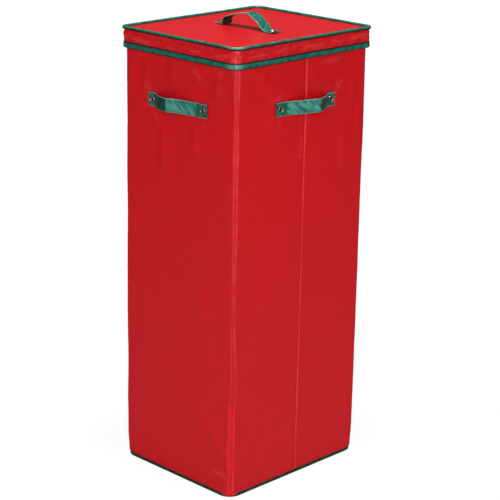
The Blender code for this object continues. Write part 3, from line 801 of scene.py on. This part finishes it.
# Half the section of a strap: distance from its middle, and half its thickness
STRAP_EDGE = (
    (0, 0.6), (4.5, 0.62), (8.6, 0.62), (9.6, 0.7), (10.6, 0.84), (11.8, 0.8), (12.45, 0.5), (12.7, 0.0),
)
HANDLES = {
    # half span, highest rise, and the bow as shares of the two
    "front": (56, 15.5, (
        (-1, 0), (-0.76, 0.82), (-0.64, 0.92), (-0.25, 1.2), (-0.21, 1.2), (0.3, 0.46), (0.78, 0.1), (1, 0),
    )),
    "right": (56, 24.0, (
        (-1, 0), (-0.97, 0.05), (-0.38, 0.5), (0.27, 1.0), (0.31, 1.0), (0.86, 0.4), (1, 0),
    )),
    "lid": (53, 27.8, (
        (-1, 0), (-1, 0.47), (-0.78, 0.65), (-0.35, 0.9), (0.02, 1.05), (0.3, 1.01), (0.62, 0.66), (1, 0),
    )),
}
HANDLES["back"], HANDLES["left"] = HANDLES["front"], HANDLES["right"]
LID_TOP, LID_HANDLE_AT = 846.0, (4.0, -4.0)
# The third colour is a painted highlight and the fourth painted shade.
STRAP_GREEN, STRAP_DEEP, STRAP_HIGHLIGHT, STRAP_SHADE = "#0A6553", "#043E34", "#5CAFA0", "#021C15"
STRAP_SHINE = "#A8F0DC"
STRAP_SEAMS, SEAM_LEVEL, STRAP_STITCH_PITCH = (-9.4, 9.4), 0.66, 3.2
STREAK_WIDE, STREAK_LONG, STREAK_LEAN = 6.0, 26.0, 0.85  # mm and radians, of the pale streaks across a strap
# The face of each bow painted lighter, as the face the light falls on: where it starts and ends, how softly,
# mm, and how pale
PAINTED_LIGHT_FACES = {
    "front": (-13, 50, 9, 1), "right": (-50, 17, 1.6, 1), "back": (-13, 50, 9, 0.9),
    "left": (-50, 17, 1.6, 0.9), "lid": (-30, 60, 9, 0.45),
}


def strap_line(half_span, rise, bow):
    """The middle line of a strap, points (along, out) in mm, from one end of its tabs to the other."""
    height = rise - STRAP_SEAT
    line = [(half_span * a, STRAP_SEAT + height * b) for a, b in bow]
    ends = [(half_span + TAB * share, STRAP_SEAT) for share in (0.2, 1)]
    return eased(np.array([(-a, b) for a, b in reversed(ends)] + line + ends, float), 3)


def handle_place(name):
    """Where a handle's middle sits, and the directions along, out and across it."""
    if name == "lid":
        return np.array(((*LID_HANDLE_AT, LID_TOP), (1, 0, 0), (0, 0, 1), (0, 1, 0)))
    k = WALLS.index(name)
    along, out, _, distance = wall_plan(k)
    middle = wall_point(k, sum(wall_rivets(k)) / 2, 0, HANDLE_HEIGHT)
    return np.array(middle), np.array((*along, 0)), np.array((*out, 0)), np.array((0, 0, 1))


def strap_frames(name, pitch):
    """Steps along a strap's middle line: distance, place along and out, and the direction out of its face."""
    half_span, rise, bow = HANDLES[name]
    line = strap_line(half_span, rise, bow)
    run = run_along(line)
    s = np.linspace(0, run[-1], round(run[-1] / pitch) + 1)
    spots = np.column_stack([np.interp(s, run, line[:, c]) for c in (0, 1)])
    way = np.gradient(spots, axis=0)
    way /= np.linalg.norm(way, axis=1)[:, None]
    return s - run[-1] / 2, spots, np.column_stack([-way[:, 1], way[:, 0]])


def strap_lift(name, s, spots, across):
    """Soft dents along a strap, and its tabs puffed up round the rivets that hold them down."""
    seed = 50 + WALLS.index(name) if name in WALLS else 55
    free = smooth_step((HANDLES[name][0] - np.abs(spots[:, 0])) / 12)
    slant, counter = (s + 0.9 * across) / 17, (s - 0.8 * across) / 8
    lift = 0.95 * soft_noise(slant, across / 16, seed)
    lift = free * (lift + 0.4 * soft_noise(counter, across / 11, seed + 0.5))
    reach = np.hypot(np.abs(spots[:, 0]) - HANDLES[name][0] - TAB / 2, across)
    tab = smooth_step((np.abs(spots[:, 0]) - HANDLES[name][0] + 4) / 6)
    return lift + tab * 1.1 * smooth_step((reach - 6.2) / 7)


def bend_strap(name, across, off, pitch=1.6):
    """A line of points at across and off from a strap's middle line, in world mm, with the way out."""
    middle, along, out, cross = handle_place(name)
    s, spots, outs = strap_frames(name, pitch)
    off = off + strap_lift(name, s, spots, across)
    plan = spots + outs * np.reshape(off, (-1, 1))
    places = middle + np.outer(plan[:, 0], along) + np.outer(plan[:, 1], out) + across * cross
    return places, np.outer(outs[:, 0], along) + np.outer(outs[:, 1], out)


def rivet_spots(name):
    """Where a handle's two rivets sit."""
    middle, along, _, _ = handle_place(name)
    return [middle + side * (HANDLES[name][0] + TAB / 2) * along for side in (-1, 1)]


def strap_painted_light(name, along):
    """How much painted light a strap gets at each point: on the lit face of its bow, in a highlight line
    where that face starts, and on its tabs.
    """
    start, end, fade, share = PAINTED_LIGHT_FACES[name]
    bow = share * smooth_step((along - start) / 1.6 + 0.5) * smooth_step((end - along) / fade + 0.5)
    bow = bow + 0.5 * np.exp(-(((along - start - 0.8) / 1.2) ** 2)) * (np.abs(along - start) < 4)
    return np.maximum(bow, 0.55 * smooth_step((np.abs(along) - HANDLES[name][0]) / 3))


def strap_painted_shade(name, along, across, facing):
    """How much painted shade a strap gets at each point: a painted shadow round each rivet, on its back, and
    on the short rise of the front and back bows, which faces away from the light."""
    reach = np.hypot(np.abs(along) - HANDLES[name][0] - TAB / 2, across)
    dark = np.maximum(0.85 * np.exp(-(((reach - 6.9) / 1.1) ** 2)), 0.75 * smooth_step(0.5 - facing * 6))
    if name in ("front", "back"):
        rise = smooth_step((PAINTED_LIGHT_FACES[name][0] - along) / 1.6 + 0.5)
        dark = np.maximum(dark, 0.4 * rise * smooth_step((along + HANDLES[name][0] - 8) / 6))
    return dark


def strap_light_marks(add, tone, strip_map, cloud):
    """Adds the straps' painted light: painted highlights along the folded edges and in streaks across the lit
    face, and painted shade round the rivets, on the back and on short rises."""
    marks = ("edge", "painted_light", "painted_shade")
    edge, painted_light, painted_shade = (add("Attribute", attribute_name=name).outputs["Fac"] for name in marks)
    size = (STREAK_WIDE * MM, STREAK_LONG * MM, 1)
    turned = {"Vector": strip_map, "Rotation": (0, 0, STREAK_LEAN), "Scale": size}
    slanted = add("Mapping", turned, vector_type="TEXTURE")
    streak_noise = add("TexNoise", {"Vector": slanted, "Scale": 1.0, "Detail": 3})
    streaks = add("MapRange", {
        "Value": streak_noise, "From Min": 0.36, "From Max": 0.68, "To Min": 0.06, "To Max": 0.66,
    })
    uneven = add("MapRange", {"Value": cloud, "From Min": 0.3, "From Max": 0.6, "To Min": 0.4})
    edge = add("Math", {0: edge, 1: uneven}, operation="MULTIPLY")
    pale = add("Math", {0: painted_light, 1: streaks}, operation="MULTIPLY")
    pale = add("Math", {0: edge, 1: pale}, operation="MAXIMUM")
    painted_sheen = add("Mix", {"Factor": pale, "A": tone, "B": linear(STRAP_HIGHLIGHT)}, data_type="RGBA")
    return add("Mix", {"Factor": painted_shade, "A": painted_sheen, "B": linear(STRAP_SHADE)}, data_type="RGBA")


strap_vinyl = calendered_vinyl(
    "folded_vinyl_strap_green", STRAP_GREEN, STRAP_DEEP, strap_light_marks, dapple=14, glossiest=0.28,
    shine={"Specular IOR Level": 0.8, "Specular Tint": linear(STRAP_SHINE)},
)
upper = [(-a, b) for a, b in STRAP_EDGE[:0:-1]] + list(STRAP_EDGE)
strap_section = upper + [(a, -b) for a, b in upper[-2:0:-1]] + upper[:1]
for name in (*WALLS, "lid"):
    rows = np.array([bend_strap(name, across, off)[0] for across, off in strap_section])
    strap = weave(name + "_strap", rows, strap_vinyl)
    edit(strap, (bpy.ops.mesh.fill_holes, {"sides": 0}), FACE_OUT)
    middle, along, out, cross = handle_place(name)
    facing = np.array([v.normal for v in strap.data.vertices]) @ out
    # Painted highlights along the folded edges, painted light on the lit face and tabs, and painted shade
    # round the rivets, on the back and on short rises.
    mark(strap, "edge", lambda at: smooth_step((np.abs((at - middle) @ cross) - 11) / 1.4))
    mark(strap, "painted_light", lambda at: strap_painted_light(name, (at - middle) @ along))
    mark(strap, "painted_shade", lambda at: strap_painted_shade(name, (at - middle) @ along, (at - middle) @ cross, facing))
    drill = make_drill("strap_drill", [(spot, out) for spot in rivet_spots(name)], 6)
    pierce(strap, drill)
    drop(drill)
    smooth(strap, 60)
    body = "lid" if name == "lid" else "box"
    fasten(strap, body, "green_strap", name + "_handle")
    seams = [bend_strap(name, across, SEAM_LEVEL) for across in STRAP_SEAMS]
    seams = [(places[2:-2], outs[2:-2]) for places, outs in seams]
    sewn = stitches(name + "_strap_stitches", thread, seams, STRAP_STITCH_PITCH)
    fasten(sewn, body, "green_strap")


# ---- Rivets and washers ----
# Hollow nickel-plated steel rivets: a rolled head on the strap, a tube through the wall, and an end curled
# over a washer inside. Their throats and the heads' inner slopes are drawn copper-toned, a painted reflection
# of the red cloth.
TUBE_RADIUS, TUBE_WALL = 3.1, 0.8
LID_THICK = 4.0  # mm, cloth, board and lining
THROAT, FLARE = 2.95, 4.2  # mm, how far out the copper-toned painted reflection reaches in the tube and on the head
RING_MIDDLE, RING_HALF, RING_HEIGHT = 5.15, 1.35, 0.8  # the washer's middle line, half width and height
HEAD_ROLL = ((3.6, 1.9), (4.2, 2.6), (4.8, 3.2), (5.4, 3.45), (5.9, 3.2), (6.1, 2.6))  # radius and level, mm
CURL = ((3.12, 0.45), (3.3, 0.1), (3.8, 0), (4.35, 0.08), (4.7, 0.4))  # radius, and level above its lowest
# The second colour is a painted reflection: a warm copper tone for the red cloth seen in the throats.
NICKEL, WARM_REFLECTION = "#D8D4CC", "#B87C66"


def make_rivet(name, depth):
    """A rivet on the Z axis, its flange on a strap over a wall of that depth whose face is at 0."""
    low = -(depth + 2 * TAPE_GAP + 0.8) - 0.6
    top, foot = 1.2, low + 1.0
    only()
    bpy.ops.mesh.primitive_cylinder_add(
        vertices=40, radius=TUBE_RADIUS * MM, depth=(top - foot) * MM, end_fill_type="NOTHING",
        location=(0, 0, (top + foot) / 2 * MM),
    )
    piece = bpy.context.object
    piece.name = piece.data.name = name
    bpy.ops.object.transform_apply(location=True)
    for level, path in ((top, HEAD_ROLL), (foot, [(r, low + up) for r, up in CURL])):
        at, radius = level, TUBE_RADIUS
        for wide, high in path:
            for vert in piece.data.vertices:
                here = vert.co / MM
                vert.select = abs(here.z - at) < WELD and abs(here.xy.length - radius) < WELD
            bpy.ops.object.mode_set(mode="EDIT")
            bpy.ops.mesh.select_mode(type="VERT")
            bpy.ops.mesh.extrude_edges_move(TRANSFORM_OT_translate={"value": (0, 0, (high - at) * MM)})
            bpy.ops.transform.resize(
                value=(wide / radius, wide / radius, 1), center_override=(0, 0, high * MM),
            )
            bpy.ops.mesh.select_all(action="DESELECT")
            bpy.ops.object.mode_set(mode="OBJECT")
            at, radius = high, wide
    edit(piece, FACE_OUT)
    apply_modifier(piece, "SOLIDIFY", thickness=TUBE_WALL * MM, offset=0)
    apply_modifier(piece, "SUBSURF", levels=1, render_levels=1)
    piece.data.materials.append(nickel)
    piece.data.materials.append(warm_reflection_metal)
    for face in piece.data.polygons:
        reach = face.center.xy.length / MM
        face.material_index = int(reach < THROAT or face.center.z > 0 and reach < FLARE)
    smooth(piece)
    return piece


def set_down(pattern, name, place, out):
    """A copy of the pattern, with its own mesh, whose Z axis points out at place (mm)."""
    piece = pattern.copy()
    piece.data = pattern.data.copy()
    piece.name = piece.data.name = name
    bpy.context.scene.collection.objects.link(piece)
    turn = Vector(out).to_track_quat("Z", "Y").to_matrix().to_4x4()
    piece.data.transform(Matrix.Translation(Vector(place) * MM) @ turn)
    return piece


# Bright nickel plate, barrel finished: nearly white metal with fine random scratches.
nickel, add = start_material("bright_nickel_plate")
place = add("TexCoord").outputs["Object"]
scratch = add("TexNoise", {"Vector": place, "Scale": 1 / (0.5 * MM), "Detail": 4})
dull = add("MapRange", {"Value": scratch, "To Min": 0.12, "To Max": 0.3})
finish_material(nickel, {"Base Color": linear(NICKEL), "Metallic": 1.0, "Roughness": dull})
# A warm copper-toned metal, a little dulled: a painted reflection of the red cloth, for the throats.
warm_reflection_metal, add = start_material("copper_tone_painted_reflection")
place = add("TexCoord").outputs["Object"]
bloom = add("TexNoise", {"Vector": place, "Scale": 1 / (1.2 * MM), "Detail": 3})
dull = add("MapRange", {"Value": bloom, "To Min": 0.4, "To Max": 0.6})
finish_material(warm_reflection_metal, {"Base Color": linear(WARM_REFLECTION), "Metallic": 1.0, "Roughness": dull})

only()
bpy.ops.mesh.primitive_torus_add(
    major_radius=RING_MIDDLE * MM, minor_radius=RING_HALF * MM, major_segments=40, minor_segments=12,
)
ring = bpy.context.object
edit(ring, (bpy.ops.transform.resize, {"value": (1, 1, RING_HEIGHT / 2 / RING_HALF)}))
ring.data.materials.append(nickel)
smooth(ring)
for group, depth in ((WALLS, WALL_THICK), (("lid",), LID_THICK)):
    pattern = make_rivet("rivet_pattern", depth)
    for name in group:
        out, body = handle_place(name)[2], "lid" if name == "lid" else "box"
        for letter, spot in zip("ab", rivet_spots(name)):
            rivet = set_down(pattern, f"{name}_hollow_rivet_{letter}", spot, out)
            fasten(rivet, body, "rivet_metal", f"{name}_rivet_{letter}")
            washer = set_down(ring, f"{name}_ring_washer_{letter}", spot - out * (depth + 0.7), out)
            fasten(washer, body, "rivet_metal", f"{name}_washer_{letter}")
    drop(pattern)
drop(ring)


# ---- Lid cloth and lining ----
# The lid's board is covered on top with the coated cloth, which lies a little full on it, and lined
# underneath with the spunbond cloth. Both are sewn into the seam of the lid's edge.
LID_CLOTH_OUT, LID_LINING_OUT = 2.6, 3.0  # mm past the walls
LID_LINING_FOOT, LID_LINING_THICK = 842.0, 0.6


def lid_level(x, y):
    """The lid's top: nearly flat, a little full towards its edges, and held down under the tabs."""
    wave = waves(0.45, x, y, (0.7, 55, 65, 60.5), (0.3, 22, 26, 63.5), (0.12, 11, 12, 64.5))
    edge = np.minimum(BODY_HALF[0] + 3 - np.abs(x), BODY_HALF[1] + 3 - np.abs(y))
    wave = np.maximum(wave, -0.1) * smooth_step(edge / 10)
    clear = 1
    for spot in rivet_spots("lid"):
        away = np.maximum(np.abs(x - spot[0]) - 12, np.abs(y - spot[1]) - 14)
        clear = clear * smooth_step(away / 8)
    return LID_TOP + wave * clear


out = handle_place("lid")[2]
lid_drill = make_drill("lid_drill", [(spot - out * 3, out) for spot in rivet_spots("lid")], 8)
lid_cloth = flat_cloth("lid_cloth", coated_cloth, BODY_HALF, LID_CLOTH_OUT, PLAN_RADIUS, 5, lid_level)
thicken(lid_cloth, COVER_THICK, lid_drill)
fasten(lid_cloth, "lid", "red_coated_fabric", "lid_cover")
lid_under = flat_cloth(
    "lid_lining_cloth", spunbond, BODY_HALF, LID_LINING_OUT, PLAN_RADIUS, 8,
    lambda x, y: waves(LID_LINING_FOOT - 0.15, x, y, (0.15, 50, 50, 66.5)), up=False,
)
thicken(lid_under, LID_LINING_THICK, lid_drill)
drop(lid_drill)
fasten(lid_under, "lid", "red_lining", "lid_lining")


# ---- Lid skirt ----
# A band of the coated cloth, doubled, round the lid's edge. It is sewn in under the piping, hangs free
# over the box's rim, and is crumpled by use, most of all at the corners.
SKIRT_OUT, SKIRT_THICK, SKIRT_FOOT, SKIRT_TOP = 4.5, 1.2, 811.0, 845.6
HEM_FOOT, HEM_TOP = 810.0, 821.8  # of the tape over its lower edge
# Soft folds of the skirt, mm: a path of (along, height), its half width and its rise
SKIRT_FOLDS = {
    "front": (
        ((28, 830, 66, 831), 3.5, 2.0), ((-40, 838, 24, 840), 3, -1.5),
        ((92, 829, 120, 833, 147, 837), 4, 2.5), ((110, 826, 150, 829), 3, -1.5),
        ((-130, 833, -95, 829, -60, 829), 5, 1.6), ((-150, 838, -128, 827), 3, 1.5),
    ),
    "right": (
        ((-174, 838, -120, 835), 3, -2.0), ((-152, 829, -90, 832), 4, 1.9),
        ((106, 831, 140, 836, 174, 837), 6, 3.0),
        ((-20, 834, 60, 831), 5, 1.5), ((120, 825, 172, 826), 4, -1.5), ((-80, 828, -40, 838), 3.5, 1.8),
        ((-12, 826, 12, 838), 3, 1.5), ((62, 838, 96, 827), 3.5, 1.6),
    ),
    "back": (((-90, 832, -20, 829), 5, 1.8), ((60, 836, 140, 832), 4, 2.0), ((-150, 830, -110, 834), 4, 1.9)),
    "left": (((-160, 832, -100, 835), 5, 2.0), ((-30, 830, 50, 834), 5, 1.6), ((110, 836, 165, 831), 4, 2.0)),
}


def skirt_cloth_highlight(points):
    """How much painted highlight the skirt gets at each point (mm): on its folds, and in crinkles, most near
    the corners.
    """
    share, z = np.zeros(len(points)), points[:, 2]
    for k in range(4):
        along, out, half, distance = wall_plan(k, -SKIRT_OUT)
        a, face = points[:, :2] @ along, points[:, :2] @ out > distance - 6
        for path, width, rise in SKIRT_FOLDS[WALLS[k]]:
            if rise > 0:
                share = np.maximum(share, 0.42 * face * ridge(a, z, path, width * 0.6, 1))
        crinkled = waves(0, a, z, (1, 9, 4, k + 84.5), (0.6, 3, 3, k + 87.5))
        corner = smooth_step((np.abs(a) - half + 16) / 10)
        share = np.maximum(share, face * (0.22 + 0.6 * corner) * smooth_step(crinkled * 1.9 + 0.2 * corner))
    return share


places, outs = plan_frames(SKIRT_OUT, 3, 16)
rows = []
for z in np.linspace(SKIRT_FOOT, SKIRT_TOP, 23):
    lift = np.zeros(len(places))
    for k in range(4):
        along, out, half, _ = wall_plan(k, -SKIRT_OUT)
        a, facing = places @ along, smooth_step((outs @ out - 0.3) / 0.5)
        swell = waves(waves(0, a, z, (0.7, 26, 13, k + 70.5)), a + z, z, (0.5, 15, 6, k + 74.5))
        for path, width, rise in SKIRT_FOLDS[WALLS[k]]:
            swell = swell + ridge(a, z, path, width, rise)
        crinkle = np.maximum(1 - np.abs(np.abs(a) - half + 5) / 9, 0) * facing
        lift += facing * swell
        lift += crinkle * 1.3 * soft_noise(a / 3.5, z / 5, k + 80.5)
    free = smooth_step((z - HEM_TOP + 2) / 6) * smooth_step((SKIRT_TOP - z) / 5)
    tuck = smooth_step((z - SKIRT_TOP + 5) / 3)
    plan = places + outs * (lift * free - tuck)[:, None]
    rows.append(np.column_stack([plan, np.full(len(plan), z)]))
rows = np.array(rows)
rows[:, -1] = rows[:, 0]
skirt = weave("skirt_cloth", rows, coated_cloth)
# Painted highlights on the skirt's folds and crinkles.
mark(skirt, "cloth_highlight", skirt_cloth_highlight)
thicken(skirt, SKIRT_THICK)
fasten(skirt, "lid", "red_coated_fabric", *("lid_skirt_" + wall for wall in WALLS))


# ---- Lid piping ----
# Green vinyl wrapped round a cord and sewn into the seam between the lid's cloth and its skirt. A painted
# highlight lies where it is pulled round the corners, and painted shade along its underside.
LID_PIPING_RADIUS, LID_PIPING_UP = 3.3, 847.3


def tape_waver(seed, size):
    """A tape or piping never lies quite even: it strays by a fraction of a millimetre."""

    def waver(s, j):
        return np.column_stack([
            size * 0.6 * soft_noise(s / 40, j * 0.15, seed), size * soft_noise(s / 60, 3, seed),
        ])

    return waver


def corner_highlight(points):
    """How much painted highlight the lid's piping and tape get at each point (mm), where they are pulled
    round the corners.
    """
    away = np.maximum(np.array(BODY_HALF) + SKIRT_OUT - np.abs(points[:, :2]), 0)
    near = smooth_step((30 - np.hypot(*away.T)) / 22)
    near = near * np.where((points[:, 0] > 0) & (points[:, 1] < 0), 1, 0.2)  # the front right one most of all
    return near * (0.45 + 0.6 * soft_noise((points[:, 0] + points[:, 1]) / 5, points[:, 2] / 1.6, 97.5))


section = piping_section(2 * LID_PIPING_RADIUS, 2 * LID_PIPING_RADIUS, 0, LID_PIPING_UP)
rows = carry(section, plan_frames(SKIRT_OUT, 7), tape_waver(90.5, 0.2))
rows[-1] = rows[0]
lid_piping = weave("lid_edge_piping", rows, vinyl)
# Painted shade along the piping's underside, and a painted highlight at the corners.
mark(lid_piping, "edge", lambda at: smooth_step((LID_PIPING_UP + 0.8 - at[:, 2]) / 1.6))
mark(lid_piping, "painted_sheen", corner_highlight)
smooth(lid_piping)
fasten(lid_piping, "lid", "green_vinyl_trim", "lid_piping")


# ---- Hem tape ----
# The rim's green vinyl tape, folded over the skirt's lower edge and sewn through with a row of lock
# stitches, which draws a groove below its upper edge.
outer, inner = TAPE_GAP + TAPE_THICK, -(SKIRT_THICK + TAPE_GAP + TAPE_THICK)
hem_section = (
    (outer - 0.3, HEM_TOP), (outer + 0.1, HEM_TOP - 0.7), (outer - 0.1, HEM_TOP - 1.4),
    (outer - 0.1, HEM_TOP - 2), (outer + 0.5, HEM_TOP - 3.6), (outer + 0.8, HEM_TOP - 6),
    (outer + 0.7, HEM_FOOT + 3), (outer + 0.4, HEM_FOOT + 1.5), (outer - 0.1, HEM_FOOT + 0.7),
    (outer - 0.6, HEM_FOOT + 0.2), (outer - 1.2, HEM_FOOT), (inner + 1.2, HEM_FOOT),
    (inner + 0.5, HEM_FOOT + 0.3), (inner, HEM_FOOT + 1.2), (inner, HEM_FOOT + 4), (inner, HEM_TOP),
)
rows = carry(hem_section, plan_frames(SKIRT_OUT, 6), tape_waver(95.5, 0.25))
hem = weave("skirt_hem_tape", rows, vinyl)
# Painted highlights at the corners, and painted shade along the tape's top edge and its foot.
mark(hem, "painted_sheen", corner_highlight)
mark(hem, "edge", lambda at: (
    smooth_step(at[:, 2] - HEM_TOP + 2.4) + smooth_step((HEM_FOOT + 2.2 - at[:, 2]) / 1.4)
))
thicken(hem, TAPE_THICK)
fasten(hem, "lid", "green_vinyl_trim", "lid_hem_binding")
hem_stitches = plan_stitches("skirt_hem_stitches", thread, [
    (SKIRT_OUT + outer - 0.1, HEM_TOP - 2, False), (SKIRT_OUT + inner - 0.05, HEM_TOP - 2, True),
])
fasten(hem_stitches, "lid", "green_vinyl_trim")


# ---- Studio ----
# White paper floor that carries on to the horizon, in a white surround. A tall box lights the walls that
# the camera sees, a card glints on them, a softbox lights the lid, and strips and a low box fill the rest.
PAPER_WHITE, PAPER_MIRRORED = 0.6, 0.14
# Name, way round from the front in degrees, distance, middle height, aimed height, width, height and watts
SOFTBOXES = (
    ("front_wall_box", 44.5, 4.2, 2.0, 0.8, 1.6, 2.2, 118),
    ("glint_card", 44.5, 4.2, 1.15, 0.8, 1.6, 0.8, 43),
    ("overhead_softbox", 55, 0.3, 3.4, 0.8, 0.45, 0.45, 77),
    ("right_strip_box", 93, 1.9, 1.05, 1.05, 0.14, 2.0, 6),
    ("left_strip_box", -7, 1.9, 1.05, 1.05, 0.14, 2.0, 4),
    ("low_back_fill", 224.5, 3.2, 0.5, 0.45, 2.4, 0.8, 36),
)
NO_GLINT, GLINT_ALONE = "front_wall_box", "glint_card"  # one leaves no glint, and the other only glints
BACK_ROUND, BACK_UP, BACK_ROLL = 44.468, 17.359, 1.084  # degrees, of the camera from the box
CAMERA_REACH, CAMERA_RIGHT, CAMERA_RISE, LOOK_HEIGHT = 3.2187, 0.01141, -0.03901, 0.4575  # metres
LENS, SENSOR = 121.33, 36  # mm

only()
bpy.ops.mesh.primitive_plane_add(size=30, location=(0, 0, -0.0005))
floor = bpy.context.object
floor.name = "floor"
# Matt white paper: the camera sees it nearly white, with a share of the shadow that falls on it.
paper, add = start_material("matt_white_paper")
rays = add("LightPath")
place = add("TexCoord").outputs["Object"]
reach = add("VectorMath", {0: place}, operation="LENGTH")
fade = add("MapRange", {"Value": reach, "From Min": 0.3, "From Max": 1.6, "To Min": 0.86})
share = add("Math", {0: rays.outputs["Is Camera Ray"], 1: fade}, operation="MULTIPLY")
shade = add("Mix", {
    "Factor": rays.outputs["Is Glossy Ray"], "A": (*(PAPER_WHITE,) * 3, 1), "B": (*(PAPER_MIRRORED,) * 3, 1),
}, data_type="RGBA")
lit = add("BsdfDiffuse", {"Color": shade})
bright = add("Emission", {"Color": (1, 1, 1, 1), "Strength": 1.08})
sight = add("MixShader", {0: share, 1: lit, 2: bright})
add("OutputMaterial", {"Surface": sight})
floor.data.materials.append(paper)

world = bpy.data.worlds.new("surround")
bpy.context.scene.world = world
world.use_nodes = True
world.node_tree.nodes.clear()
add = partial(add_node, world)
soft = add("Background", {"Color": (1, 1, 1, 1), "Strength": 0.12})
white = add("Background", {"Color": (1, 1, 1, 1), "Strength": 1.0})
seen = add("LightPath").outputs["Is Camera Ray"]
add("OutputWorld", {"Surface": add("MixShader", {0: seen, 1: soft, 2: white})})

for name, around, reach, rise, aim, wide, tall, watts in SOFTBOXES:
    lamp = bpy.data.lights.new(name, "AREA")
    lamp.shape, lamp.size, lamp.size_y, lamp.energy = "RECTANGLE", wide, tall, watts
    box = bpy.data.objects.new(name, lamp)
    bpy.context.scene.collection.objects.link(box)
    turn = math.radians(around)
    box.location = (math.sin(turn) * reach, -math.cos(turn) * reach, rise)
    box.rotation_euler = (box.location - Vector((0, 0, aim))).to_track_quat("Z", "Y").to_euler()
    box.visible_camera = False
    box.visible_glossy, box.visible_diffuse = name != NO_GLINT, name != GLINT_ALONE

turn, tilt, roll = (math.radians(angle) for angle in (BACK_ROUND, BACK_UP, BACK_ROLL))
back = Vector((math.sin(turn) * math.cos(tilt), -math.cos(turn) * math.cos(tilt), math.sin(tilt)))
right = Vector((0, 0, 1)).cross(back).normalized()
up = back.cross(right)
right, up = math.cos(roll) * right + math.sin(roll) * up, math.cos(roll) * up - math.sin(roll) * right
lens = bpy.data.cameras.new("camera")
lens.lens, lens.sensor_width = LENS, SENSOR
camera = bpy.data.objects.new("camera", lens)
bpy.context.scene.collection.objects.link(camera)
spot = Vector((0, 0, LOOK_HEIGHT)) + back * CAMERA_REACH + right * CAMERA_RIGHT + up * CAMERA_RISE
camera.matrix_world = Matrix.Translation(spot) @ Matrix((right, up, back)).transposed().to_4x4()
bpy.context.scene.camera = camera
bpy.context.scene.view_settings.view_transform = "Standard"
